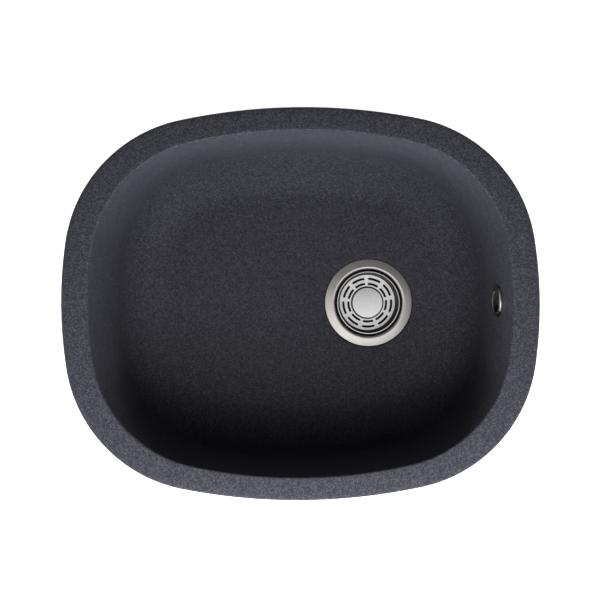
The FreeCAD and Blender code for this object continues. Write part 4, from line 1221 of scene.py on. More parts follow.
@dataclass(frozen=True)
class Moulded(Finish):
    """Moulded plastic, rubber, foam or plating with an even fine texture."""

    scale: float = 1800.0
    contrast: float = 1.5
    strength: float = 0.2
    depth: float = 0.05
    swing: float = 0.08

    def build(self) -> bpy.types.Material:
        """Make the material.

        Returns:
            The material.
        """
        material, tree, shader, place = self.start()
        texture = self.group(tree, mould_group, place, Scale=self.scale)
        high = tuple(min(1.0, channel * self.contrast) for channel in self.colour)
        self.spread(tree, shader, texture.outputs["Cloud"], self.colour, high)
        self.vary_roughness(tree, shader, texture.outputs["Cloud"], self.swing)
        self.bump(tree, shader, texture.outputs["Grain"], self.strength, self.depth)
        return material


# Sizes that several assemblies share


@dataclass(frozen=True)
class BowlShape:
    """Sizes of the casting that other pieces follow too, in millimetres."""

    outline: Oval = Oval(half_length=280.0, half_width=230.0, side=500.0, long=695.0, corner=170.0)
    mouth: Oval = Oval(half_length=248.5, half_width=202.5, side=425.0, long=592.0, corner=149.0)
    foot: Oval = Oval(half_length=222.0, half_width=191.0, side=403.0, long=578.0, corner=127.0)
    rim_height: float = 9.0
    depth: float = 190.0
    fall_drop: float = 3.0
    seat_depth: float = 2.0
    drain_x: float = 89.5
    overflow_drop: float = 60.0
    clip_inset: float = 16.5

    @property
    def drain(self) -> Place:
        """Middle of the seat of the strainer's flange, in metres."""
        height = self.rim_height - self.depth - self.fall_drop - self.seat_depth
        return (self.drain_x * MM, 0.0, height * MM)

    @property
    def lean(self) -> float:
        """Lean of the short side's wall in radians."""
        return math.atan2(self.mouth.half_length - self.foot.half_length, self.depth)

    @property
    def overflow(self) -> Matrix:
        """Frame on the wall's inner face, its X axis straight out through the wall.

        Returns:
            The frame.
        """
        narrowing = self.mouth.half_length - self.foot.half_length
        x = self.mouth.half_length - self.overflow_drop / self.depth * narrowing
        z = self.rim_height - self.overflow_drop
        return Matrix.Translation((x * MM, 0.0, z * MM)) @ Matrix.Rotation(self.lean, 4, "Y")

    def clip_sites(self) -> dict[str, Matrix]:
        """Frame of each clip: origin on its stud, X straight out of the outline.

        Returns:
            The frames by the name of the corner.
        """
        corner = self.outline.corner_centre()
        reach = (self.outline.corner - self.clip_inset) / math.sqrt(2)
        x, y = (corner.x + reach) * MM, (corner.y + reach) * MM
        rows = {
            "back_right": (x, y, 45),
            "back_left": (-x, y, 135),
            "front_left": (-x, -y, 225),
            "front_right": (x, -y, 315),
        }
        return {
            name: Matrix.Translation((px, py, 0.0)) @ Matrix.Rotation(math.radians(turn), 4, "Z")
            for name, (px, py, turn) in rows.items()
        }


SHAPE = BowlShape()
DRAIN = SHAPE.drain
OVERFLOW = SHAPE.overflow
ALONG_X = Matrix.Rotation(math.pi / 2, 4, "Y")
WASTE = Matrix.Translation(DRAIN)
CLIP_SITES = SHAPE.clip_sites()

# Painted shade: a near-black band on the basket's steep wall, inside and out, where the deep basket
# lies in shade.
BASKET_SHADE = Zone(
    inner=0.0388,
    outer=0.0398,
    low=-0.0320,
    high=0.0030,
    shade=0.08,
    roughness=0.55,
    slope=0.0602,
    blur=0.0004,
)
# Painted shadow: a dark ring on the basket's plate just outside the knob's edge.
KNOB_SHADE = Zone(
    inner=0.0203, outer=0.0218, low=-0.0318, high=-0.0303, shade=0.12, roughness=0.5
)
# Painted shade: the rosette's middle, hub, spokes and the inner edge of its ring, made dark.
ROSETTE_SHADE = Zone(
    inner=-1.0, outer=0.0142, low=-0.0035, high=0.02, shade=0.05, roughness=0.45
)

QUARTZ = Quartz("graphite_quartz", (0.0348, 0.0349, 0.0440), roughness=0.5, sheen_level=0.12)
FLANGE_STEEL = Turned(
    "satin_flange_steel", (0.62, 0.595, 0.565), roughness=0.33, metallic=1.0, axis=DRAIN
)
BASKET_STEEL = Turned(
    "satin_basket_steel",
    (0.7, 0.7, 0.695),
    roughness=0.28,
    metallic=1.0,
    sheen_level=0.1,
    axis=DRAIN,
    zones=(BASKET_SHADE, KNOB_SHADE),
)
SCREW_STEEL = Turned(
    "screw_steel", (0.55, 0.55, 0.56), roughness=0.3, metallic=1.0, axis=DRAIN
)
BAND_STEEL = Moulded(
    "band_steel", (0.43, 0.43, 0.44), roughness=0.28, metallic=1.0, scale=1400.0, contrast=1.25
)
ZINC = Moulded(
    "zinc_plate", (0.43, 0.44, 0.46), roughness=0.36, metallic=1.0, scale=900.0, contrast=1.3
)
CHROME = Turned(
    "bright_chrome",
    (0.6, 0.6, 0.61),
    roughness=0.1,
    metallic=1.0,
    sheen_level=0.15,
    axis=tuple(OVERFLOW.translation),
    tilt=SHAPE.lean + math.pi / 2,
    shade=0.93,
    strength=0.02,
    zones=(ROSETTE_SHADE,),
)
BRASS = Moulded(
    "turned_brass", (0.62, 0.44, 0.19), roughness=0.32, metallic=1.0, scale=1200.0, contrast=1.2
)
RUBBER = Moulded(
    "black_rubber", (0.014, 0.014, 0.014), roughness=0.62, scale=1500.0, contrast=1.8
)
FOAM = Moulded(
    "closed_cell_foam",
    (0.02, 0.02, 0.021),
    roughness=0.85,
    scale=900.0,
    contrast=2.2,
    strength=0.5,
)
BLACK_PLASTIC = Moulded(
    "black_moulding", (0.022, 0.022, 0.024), roughness=0.44, scale=2600.0, contrast=1.7
)
HOSE_PLASTIC = Moulded(
    "grey_hose", (0.06, 0.06, 0.065), roughness=0.4, scale=1600.0, contrast=1.4
)

MATERIALS: dict[str, bpy.types.Material] = {}


def material_of(finish: Finish) -> bpy.types.Material:
    """Build a finish's material once and hand out the same one after that.

    Args:
        finish: The finish.

    Returns:
        Its material.
    """
    if finish.name not in MATERIALS:
        MATERIALS[finish.name] = finish.build()
    return MATERIALS[finish.name]


# Assemblies


@dataclass
class Assembly:
    """A group of pieces; subclasses build them and dress them."""

    body: str = "sink"

    def dress(
        self,
        item: Item,
        finish: Finish,
        slot: str,
        *nodes: str,
        body: Optional[str] = None,
    ) -> Item:
        """Give a finished piece its material and its body, and hide the CAD nodes that it stands
        for.

        Args:
            item: The piece, at the origin.
            finish: Its finish.
            slot: The record's material slot; it is not used.
            *nodes: CAD nodes that it replaces.
            body: The body that it rides on, where it isn't the assembly's own.

        Returns:
            The piece.
        """
        item.data.materials.clear()
        item.data.materials.append(material_of(finish))
        if nodes:
            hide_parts(*nodes)
        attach(item, body or self.body)
        faces = len(item.data.polygons)
        LOG.info("%s: %d faces on %s", item.name, faces, body or self.body)
        return item


@dataclass
class Bowl(Assembly):
    """The casting: rim, drafted walls, round foot, floor with its fall, seats and bosses."""

    shape: BowlShape = SHAPE
    rim_edge: float = 3.0
    under_edge: float = 0.6
    mouth_edge: float = 2.5
    wall: float = 9.0
    wall_root: float = 1.2
    fillet: float = 60.0
    fall_inset: float = 58.0
    seat_radius: float = 58.0
    seat_edge: float = 1.0
    seat_root: float = 0.3
    hole_radius: float = 46.0
    hole_edge: float = 0.5
    boss_radius: float = 65.0
    boss_drop: float = 6.0
    boss_edge: float = 1.0
    boss_root: float = 1.5
    boss_root_middle: float = 0.45
    groove_inset: float = 3.0
    groove_width: float = 5.0
    groove_depth: float = 1.5
    pad_radius: float = 27.0
    pad_edge: float = 1.2
    pad_sunk: float = 7.5
    pad_face: float = 12.0
    rosette_seat: float = 19.0
    rosette_sunk: float = 1.0
    overflow_hole: float = 14.0
    bore_front: float = -12.0
    bore_back: float = 20.0
    lug_radius: float = 6.0
    lug_root: float = -14.0
    lug_foot: float = -24.0
    lug_top: float = 1.0
    insert_radius: float = 3.5
    insert_foot: float = -30.0
    insert_top: float = -10.0
    counts: tuple[int, int, int] = (20, 34, 28)
    edge_steps: int = 6
    top_steps: int = 4
    wall_steps: int = 16
    inner_wall_rings: int = 11
    outer_wall_rings: int = 10
    foot_steps: int = 18
    floor_steps: int = 12
    seat_steps: int = 3
    under_steps: int = 8
    lug_steps: int = 16
    bore_steps: int = 96
    insert_steps: int = 32
    pad_edge_steps: int = 3
    crisp: float = 28.0

    @property
    def floor(self) -> float:
        """Height of the floor's edge."""
        return self.shape.rim_height - self.shape.depth

    def ring(self, shape: Oval, height: float, push: float = 0.0) -> Ring:
        """Points of an oval at a height, moved along its normals."""
        samples = shape.grown(push).samples(*self.counts)
        return [Vector((point.x, point.y, height)) for point, _ in samples]

    def wall_rings(
        self, top: Oval, foot: Oval, top_z: float, foot_z: float, count: int
    ) -> list[Ring]:
        """Straight rings under a top oval, down to where the round foot begins.

        Args:
            top: The oval at the top, which has no ring here.
            foot: The oval that the wall would reach at the foot.
            top_z: Height of the top oval.
            foot_z: Height of the foot's oval.
            count: How many rings there are, out of wall_steps down to the foot.

        Returns:
            The rings.
        """
        high, low = top.samples(*self.counts), foot.samples(*self.counts)
        rings = []
        for step in range(1, count + 1):
            share = step / self.wall_steps
            ring = []
            for (upper, _), (lower, _) in zip(high, low):
                point = upper.lerp(lower, share)
                ring.append(Vector((point.x, point.y, top_z + (foot_z - top_z) * share)))
            rings.append(ring)
        return rings

    def lean(self, top: Oval, foot: Oval, drop: float) -> list[float]:
        """Lean of the wall at each point, as an angle from upright.

        Args:
            top: The oval at the top.
            foot: The oval at the foot.
            drop: Height between them.

        Returns:
            The angles in radians, one for each sample.
        """
        high, low = top.samples(*self.counts), foot.samples(*self.counts)
        angles = []
        for (upper, _), (lower, normal) in zip(high, low):
            angles.append(math.atan2((upper - lower).dot(normal), drop))
        return angles

    def foot_rings(
        self, top: Oval, foot: Oval, drop: float, foot_z: float, radius: float
    ) -> list[Ring]:
        """Rings of the round foot between the wall and the floor.

        Args:
            top: The oval at the wall's top.
            foot: The oval that the wall would reach at the foot.
            drop: Height between them.
            foot_z: Height of the foot's oval.
            radius: Radius of the rounding.

        Returns:
            The rings, from the wall to the floor.
        """
        angles = self.lean(top, foot, drop)
        rings = []
        for step in range(self.foot_steps + 1):
            share = step / self.foot_steps
            ring = []
            for (point, normal), lean in zip(foot.samples(*self.counts), angles):
                reach = radius * math.tan((math.pi / 2 - lean) / 2)
                angle = -lean + (lean - math.pi / 2) * share
                flat = point + normal * (radius * math.cos(angle) - reach)
                ring.append(Vector((flat.x, flat.y, foot_z + radius + radius * math.sin(angle))))
            rings.append(ring)
        return rings

    def discs(self, edge: Ring, rows: Sequence[Corner]) -> list[Ring]:
        """Circles about the drain whose points face those of a floor ring.

        Args:
            edge: The floor ring.
            rows: Radius and height of each circle.

        Returns:
            The circles.
        """
        middle = self.shape.drain_x
        angles = [math.atan2(point.y, point.x - middle) for point in edge]
        rings = []
        for radius, height in rows:
            ring = []
            for angle in angles:
                x, y = middle + radius * math.cos(angle), radius * math.sin(angle)
                ring.append(Vector((x, y, height)))
            rings.append(ring)
        return rings

    def between(self, start: Ring, end: Ring, steps: int) -> list[Ring]:
        """Rings spaced evenly between two others, without either.

        Args:
            start: The first ring.
            end: The last ring.
            steps: How many steps lead from one to the other.

        Returns:
            The rings.
        """
        rings = []
        for step in range(1, steps):
            rings.append([a.lerp(b, step / steps) for a, b in zip(start, end)])
        return rings

    def edge_rings(self) -> list[Ring]:
        """Rim from its underside up over the outer edge, across, and over the mouth's edge.

        Returns:
            The rings.
        """
        shape, top = self.shape, self.shape.rim_height
        outer = [
            self.ring(shape.outline, 0.0, -self.under_edge),
            self.ring(shape.outline, self.under_edge),
        ]
        radius = self.rim_edge
        for step in range(self.edge_steps + 1):
            angle = math.pi / 2 * step / self.edge_steps
            push = radius * (math.cos(angle) - 1)
            outer.append(self.ring(shape.outline, top - radius + radius * math.sin(angle), push))
        angles = self.lean(shape.mouth, shape.foot, shape.depth)
        samples = shape.mouth.samples(*self.counts)
        radius = self.mouth_edge
        inner = []
        for step in range(self.edge_steps + 1):
            ring = []
            for (point, normal), lean in zip(samples, angles):
                reach = radius * math.tan((math.pi / 2 - lean) / 2)
                angle = math.pi / 2 + (lean - math.pi / 2) * step / self.edge_steps
                flat = point + normal * (reach - radius * math.cos(angle))
                ring.append(Vector((flat.x, flat.y, top - radius + radius * math.sin(angle))))
            inner.append(ring)
        return outer + self.between(outer[-1], inner[0], self.top_steps) + inner

    def inside_rings(self) -> list[Ring]:
        """Wall, foot, floor and fall down to the drain's hole.

        Returns:
            The rings.
        """
        mouth, foot, depth = self.shape.mouth, self.shape.foot, self.shape.depth
        top, floor = self.shape.rim_height, self.floor
        rings = self.wall_rings(mouth, foot, top, floor, self.inner_wall_rings)
        rings += self.foot_rings(mouth, foot, depth, floor, self.fillet)
        fall_edge = self.ring(foot, floor, -self.fall_inset)
        rings.append(fall_edge)
        seat = floor - self.shape.fall_drop
        edge = self.seat_edge
        seat_ring = self.discs(fall_edge, [(self.seat_radius + edge, seat)])[0]
        rings += self.between(fall_edge, seat_ring, self.floor_steps)
        rows = []
        for step in range(self.seat_steps + 1):
            angle = math.pi / 2 * step / self.seat_steps
            push = edge - edge * math.sin(angle)
            rows.append((self.seat_radius + push, seat - edge + edge * math.cos(angle)))
        bottom = seat - self.shape.seat_depth
        rows += [
            (self.seat_radius, bottom + self.seat_root),
            (self.seat_radius - self.seat_root, bottom),
            (self.hole_radius + self.hole_edge, bottom),
            (self.hole_radius, bottom - self.hole_edge),
        ]
        return rings + self.discs(fall_edge, rows)

    def outside_rings(self) -> list[Ring]:
        """Underside from the drain's hole out, up the outer wall and under the rim.

        Returns:
            The rings.
        """
        under = self.floor - self.wall
        low = under - self.boss_drop
        fall_edge = self.ring(self.shape.foot, self.floor, -self.fall_inset)
        rows = [
            (self.hole_radius, low + self.hole_edge),
            (self.hole_radius + self.hole_edge, low),
            (self.boss_radius - self.boss_edge, low),
            (self.boss_radius, low + self.boss_edge),
            (self.boss_radius, under - self.boss_root),
            (self.boss_radius + self.boss_root_middle, under - self.boss_root_middle),
            (self.boss_radius + self.boss_root, under),
        ]
        rings = self.discs(fall_edge, rows)
        top, foot = self.shape.mouth.grown(self.wall), self.shape.foot.grown(self.wall)
        radius = self.fillet + self.wall
        edge = self.ring(foot, under, -radius)
        rings += self.between(rings[-1], edge, self.under_steps) + [edge]
        rings += self.foot_rings(top, foot, -under, under, radius)[::-1]
        rings += self.wall_rings(top, foot, 0.0, under, self.outer_wall_rings)[::-1]
        rings.append(self.ring(top, -self.wall_root))
        rings.append(self.ring(top, 0.0, self.wall_root))
        outline = self.shape.outline
        inner = -self.groove_inset - self.groove_width
        rings.append(self.ring(outline, 0.0, inner))
        rings.append(self.ring(outline, self.groove_depth, inner))
        rings.append(self.ring(outline, self.groove_depth, -self.groove_inset))
        rings.append(self.ring(outline, 0.0, -self.groove_inset))
        return rings

    def build(self) -> Item:
        """Make the casting with its bores and bosses.

        Returns:
            The casting.
        """
        outside = self.outside_rings()
        rings = self.edge_rings() + self.inside_rings() + outside
        item = add_object("bowl_casting", grid_mesh("bowl_casting", rings, True))
        self.mark_back(item.data, outside)
        boolean(item, self.bosses(), Join.ADD)
        boolean(item, self.cutters(), Join.CUT)
        smooth(item, self.crisp)
        return self.dress(item, QUARTZ, "quartz", "bowl")

    def mark_back(self, mesh: Mesh, outside: Sequence[Ring]) -> None:
        """Note which points lie on the unseen side, for the finish.

        Args:
            mesh: The casting's mesh.
            outside: The rings of the unseen side, in millimetres.
        """
        hidden = {tuple(round(value, 3) for value in point) for ring in outside for point in ring}
        layer = mesh.attributes.new(BACK, "FLOAT", "POINT")
        for vertex, value in zip(mesh.vertices, layer.data):
            value.value = float(tuple(round(part / MM, 3) for part in vertex.co) in hidden)

    def bosses(self) -> Mesh:
        """Round pad behind the overflow and the four clip lugs.

        Returns:
            The bosses, each sunk into the wall.
        """
        profile = [
            (0.0, self.pad_sunk),
            (self.pad_radius, self.pad_sunk),
            (self.pad_radius, self.pad_face, self.pad_edge),
            (0.0, self.pad_face),
        ]
        section = rounded(profile, self.pad_edge_steps)
        pad = lathe("pad", section, self.bore_steps, closed=False)
        meshes = [moved(pad, OVERFLOW @ ALONG_X)]
        radius, root = self.lug_radius, self.lug_root
        outline = []
        for step in range(self.lug_steps + 1):
            angle = math.pi * (step / self.lug_steps - 0.5)
            outline.append((radius * math.cos(angle), radius * math.sin(angle)))
        outline += [(root, radius), (root, -radius)]
        for site in CLIP_SITES.values():
            meshes.append(moved(prism("lug", outline, self.lug_foot, self.lug_top), site))
        return merged("bosses", meshes)

    def cutters(self) -> Mesh:
        """Overflow bore with its front seat, and the bores for the clip inserts.

        Returns:
            The cutters.
        """
        profile = [
            (0.0, self.bore_front),
            (self.rosette_seat, self.bore_front),
            (self.rosette_seat, self.rosette_sunk),
            (self.overflow_hole, self.rosette_sunk),
            (self.overflow_hole, self.bore_back),
            (0.0, self.bore_back),
        ]
        bore = lathe("bore", profile, self.bore_steps, closed=False)
        meshes = [moved(bore, OVERFLOW @ ALONG_X)]
        radius, low, high = self.insert_radius, self.insert_foot, self.insert_top
        for site in CLIP_SITES.values():
            hole = rod("hole", radius, low, high, self.insert_steps)
            meshes.append(moved(hole, site))
        return merged("cutters", meshes)


@dataclass
class Strainer(Assembly):
    """Pressed cup with its flange; heights are from the seat of the flange."""

    sheet: float = 1.0
    screw_hole: float = 5.3
    floor: float = -53.0
    floor_radius: float = 31.0
    floor_bend: float = 3.0
    floor_corner: float = 0.5
    throat: float = 43.5
    cone_top: float = -40.0
    throat_bend: float = 3.2
    throat_under_bend: float = 2.0
    dome_radius: float = 47.5
    dome: float = 3.4
    dome_bend: float = 4.0
    flange_radius: float = 57.0
    flange_low: float = 0.4
    flange_edge: float = 0.35
    hole_count: int = 6
    hole_ring: float = 20.5
    hole_radius: float = 6.0
    hole_low: float = -58.0
    hole_high: float = -48.0
    hole_steps: int = 40

    def profile(self) -> list[tuple]:
        """Corners of the cup's section, up its inner face and down its outer one.

        Returns:
            The corners, as rounded takes them.
        """
        outer, bend = self.throat + self.sheet, self.floor_bend
        return [
            (self.screw_hole, self.floor + self.sheet),
            (self.floor_radius, self.floor + self.sheet, bend),
            (self.throat, self.cone_top, bend),
            (self.throat, self.dome, self.throat_bend),
            (self.dome_radius, self.dome, self.dome_bend),
            (self.flange_radius, self.flange_low + self.sheet, self.flange_edge),
            (self.flange_radius, self.flange_low, self.flange_edge),
            (self.dome_radius, self.dome - self.sheet, self.dome_bend - self.sheet),
            (outer, self.dome - self.sheet, self.throat_under_bend),
            (outer, self.cone_top, bend + self.sheet),
            (self.floor_radius + self.floor_corner, self.floor, bend + self.floor_corner),
            (self.screw_hole, self.floor),
        ]

    def build(self) -> Item:
        """Make the cup with its drain holes.

        Returns:
            The cup.
        """
        section = rounded(self.profile(), BEND_STEPS)
        cup = add_object("strainer_cup_pressing", lathe("cup", section, TURN_STEPS))
        hole = rod("hole", self.hole_radius, self.hole_low, self.hole_high, self.hole_steps)
        moved(hole, Matrix.Translation((self.hole_ring * MM, 0, 0)))
        boolean(cup, grow(hole, ring_array_group, Count=self.hole_count), Join.CUT)
        moved(cup.data, WASTE)
        smooth(cup)
        return self.dress(cup, FLANGE_STEEL, "stainless", "strainer_cup")


@dataclass
class Basket(Assembly):
    """Deep-drawn basket with two rings of slots; heights are from the flange's seat."""

    body: str = "basket"
    sheet: float = 0.8
    stem_hole: float = 8.0
    floor: float = -31.8
    floor_radius: float = 37.6
    floor_bend: float = 1.2
    mouth_radius: float = 39.6
    lip_radius: float = 41.2
    lip_top: float = 2.2
    lip_low: float = 0.8
    lip_bend: float = 0.5
    lip_under_bend: float = 0.4
    lip_root: float = 0.2
    slot_rings: tuple[float, float] = (32.0, 25.2)
    slot_count: int = 9
    slot_degrees: float = 26.0
    slot_start: float = 112.0
    slot_half: float = 1.5
    slot_low: float = -34.0
    slot_high: float = -29.0
    arc_steps: int = 12
    end_steps: int = 8

    def profile(self) -> list[tuple]:
        """Corners of the basket's section, up its inner face and down its outer one.

        Returns:
            The corners, as rounded takes them.
        """
        return [
            (self.stem_hole, self.floor + self.sheet),
            (self.floor_radius, self.floor + self.sheet, self.floor_bend),
            (self.mouth_radius, self.lip_top, self.lip_bend),
            (self.lip_radius, self.lip_top, self.lip_bend),
            (self.lip_radius, self.lip_low, self.lip_under_bend),
            (self.mouth_radius + self.sheet, self.lip_low, self.lip_root),
            (self.floor_radius + self.sheet, self.floor, self.floor_bend + self.sheet),
            (self.stem_hole, self.floor),
        ]

    def slot(self, radius: float) -> Mesh:
        """Cutter for one curved slot with round ends, across the X axis.

        Args:
            radius: Radius of the slot's middle line.

        Returns:
            The cutter.
        """
        swing = math.radians(self.slot_degrees) / 2
        arc = [swing * (2 * step / self.arc_steps - 1) for step in range(self.arc_steps + 1)]
        end = [math.pi * step / self.end_steps for step in range(1, self.end_steps)]
        outer, inner = radius + self.slot_half, radius - self.slot_half
        outline = [(outer * math.cos(angle), outer * math.sin(angle)) for angle in arc]
        outline += [self.end_point(radius, swing, swing + around) for around in end]
        outline += [(inner * math.cos(angle), -inner * math.sin(angle)) for angle in arc]
        outline += [self.end_point(radius, -swing, math.pi - swing + around) for around in end]
        return prism("slot", outline, self.slot_low, self.slot_high)

    def end_point(self, radius: float, angle: float, around: float) -> Corner:
        """Point on the round end of a slot.

        Args:
            radius: Radius of the slot's middle line.
            angle: Angle of the end's middle about the basket's axis.
            around: Angle of the point about the end's middle.

        Returns:
            The point.
        """
        return (
            radius * math.cos(angle) + self.slot_half * math.cos(around),
            radius * math.sin(angle) + self.slot_half * math.sin(around),
        )

    def build(self) -> Item:
        """Make the basket.

        Returns:
            The basket.
        """
        section = rounded(self.profile(), BEND_STEPS)
        basket = add_object("basket_drawn", lathe("basket", section, TURN_STEPS))
        first = math.radians(self.slot_start)
        for radius in self.slot_rings:
            slots = grow(self.slot(radius), ring_array_group, Count=self.slot_count, First=first)
            boolean(basket, slots, Join.CUT)
        moved(basket.data, WASTE)
        smooth(basket)
        return self.dress(basket, BASKET_STEEL, "stainless", "basket")


@dataclass
class Knob(Assembly):
    """Flat knob on the stem of the plug; heights are from the flange's seat."""

    body: str = "plug"
    middle: float = -25.5
    edge_top: float = -25.4
    disc_radius: float = 20.3
    skirt_radius: float = 20.6
    skirt_inner: float = 18.6
    skirt_low: float = -27.8
    disc_bend: float = 0.9
    skirt_bend: float = 0.5
    web_radius: float = 17.6
    web_low: float = -27.2
    hub_radius: float = 10.5
    hub_top: float = -27.4
    hub_bend: float = 1.0
    hub_low: float = -30.9
    socket_radius: float = 7.9
    socket_top: float = -28.0
    bend_steps: int = 6

    def build(self) -> Item:
        """Make the knob.

        Returns:
            The knob.
        """
        profile = [
            (0.0, self.middle),
            (self.disc_radius, self.edge_top, self.disc_bend),
            (self.skirt_radius, self.skirt_low, self.disc_bend),
            (self.skirt_inner, self.skirt_low, self.skirt_bend),
            (self.web_radius, self.web_low),
            (self.hub_radius, self.hub_top, self.hub_bend),
            (self.hub_radius, self.hub_low),
            (self.socket_radius, self.hub_low),
            (self.socket_radius, self.socket_top),
            (0.0, self.socket_top),
        ]
        section = rounded(profile, self.bend_steps)
        knob = add_object("basket_knob_disc", lathe("knob", section, closed=False))
        moved(knob.data, WASTE)
        smooth(knob)
        return self.dress(knob, BASKET_STEEL, "stainless", "basket_knob")


@dataclass
class Rosette(Assembly):
    """Chromed ring of the overflow with its sleeve, spokes and hub; +Z goes into the wall."""

    flange_radius: float = 18.5
    face: float = -4.0
    rim_bend: float = 2.2
    back_bend: float = 0.3
    mouth_radius: float = 12.6
    mouth_bend: float = 1.5
    mouth_low: float = -0.2
    sleeve_radius: float = 13.6
    sleeve_bore: float = 12.0
    sleeve_end: float = 8.0
    sleeve_bend: float = 0.4
    spoke_count: int = 3
    spoke_half: float = 1.1
    spoke_face: float = 2.0
    spoke_back: float = 5.0
    hub_radius: float = 5.2
    screw_hole: float = 2.8
    screw_hole_end: float = 9.0
    screw_hole_steps: int = 48
    hub_steps: int = 64

    def build(self) -> Item:
        """Make the rosette.

        Returns:
            The rosette.
        """
        profile = [
            (self.mouth_radius, self.mouth_low),
            (self.mouth_radius, self.face, self.mouth_bend),
            (self.flange_radius, self.face, self.rim_bend),
            (self.flange_radius, 0.0, self.back_bend),
            (self.sleeve_radius, 0.0),
            (self.sleeve_radius, self.sleeve_end, self.sleeve_bend),
            (self.sleeve_bore, self.sleeve_end, self.sleeve_bend),
            (self.sleeve_bore, self.mouth_low),
        ]
        ring = lathe("ring", rounded(profile, BEND_STEPS))
        piece = add_object("overflow_rosette_ring", ring)
        low = (0.0, -self.spoke_half, self.spoke_face)
        high = (self.mouth_radius, self.spoke_half, self.spoke_back)
        spoke = box_mesh("spoke", low, high)
        spokes = grow(spoke, ring_array_group, Count=self.spoke_count, First=math.pi)
        hub = rod("hub", self.hub_radius, self.spoke_back, self.spoke_face, self.hub_steps)
        bore = rod("bore", self.screw_hole, self.screw_hole_end, 0.0, self.screw_hole_steps)
        boolean(piece, spokes, Join.ADD)
        boolean(piece, hub, Join.ADD)
        boolean(piece, bore, Join.CUT)
        moved(piece.data, OVERFLOW @ ALONG_X)
        smooth(piece)
        return self.dress(piece, CHROME, "chrome", "overflow_rosette")


@dataclass
class WasteBody(Assembly):
    """Moulded waste body with the trap's thread on its outlet."""

    edge: float = 0.5
    thread_radius: float = 23.9
    thread_depth: float = 1.3
    thread_pitch: float = 2.309
    thread_low: float = -110.2
    thread_length: float = 26.0
    thread_steps: int = 96
    outlet_end: float = -112.0
    shoulder: float = -82.5
    overrun: float = 1.5
    shell_radius: float = 53.0
    cone_top: float = -54.0
    cone_foot: Corner = (23.9, -78.0)
    skin: float = 0.05
    trim_width: float = 8.0
    trim_lift: float = 0.5

    def trim(self) -> list[Corner]:
        """Outline just outside the cone, which takes off what the inner spokes leave there.

        Returns:
            The section's corners.
        """
        outside = self.shell_radius + self.trim_width
        foot_radius, foot_height = self.cone_foot
        return [
            (self.shell_radius + self.skin, self.cone_top + self.trim_lift),
            (outside, self.cone_top + self.trim_lift),
            (outside, foot_height - self.skin),
            (foot_radius + self.skin, foot_height - self.skin),
            (self.shell_radius + self.skin, self.cone_top - self.skin),
        ]

    def build(self) -> Item:
        """Cut the outlet back to the thread's root and wind the ridge round it.

        Returns:
            The waste body.
        """
        item = from_cad("waste_body_moulding", "waste_body")
        soften(item, self.edge)
        root = self.thread_radius - self.thread_depth
        outside, end = self.thread_radius + self.overrun, self.outlet_end - self.overrun
        sleeve = [(root, end), (outside, end), (outside, self.shoulder), (root, self.shoulder)]
        for name, section in (("sleeve", sleeve), ("trim", self.trim())):
            boolean(item, moved(lathe(name, section, TURN_STEPS), WASTE), Join.CUT)
        ridge = grow(
            bpy.data.meshes.new("seed"),
            thread_group,
            BLACK_PLASTIC,
            Radius=self.thread_radius * MM,
            Depth=self.thread_depth * MM,
            Pitch=self.thread_pitch * MM,
            Length=self.thread_length * MM,
            Low=self.thread_low * MM,
            Steps=self.thread_steps,
        )
        moved(ridge, WASTE)
        item.data = merged("waste_body_moulding", [item.data, ridge])
        smooth(item)
        return self.dress(item, BLACK_PLASTIC, "black_plastic", "waste_body")


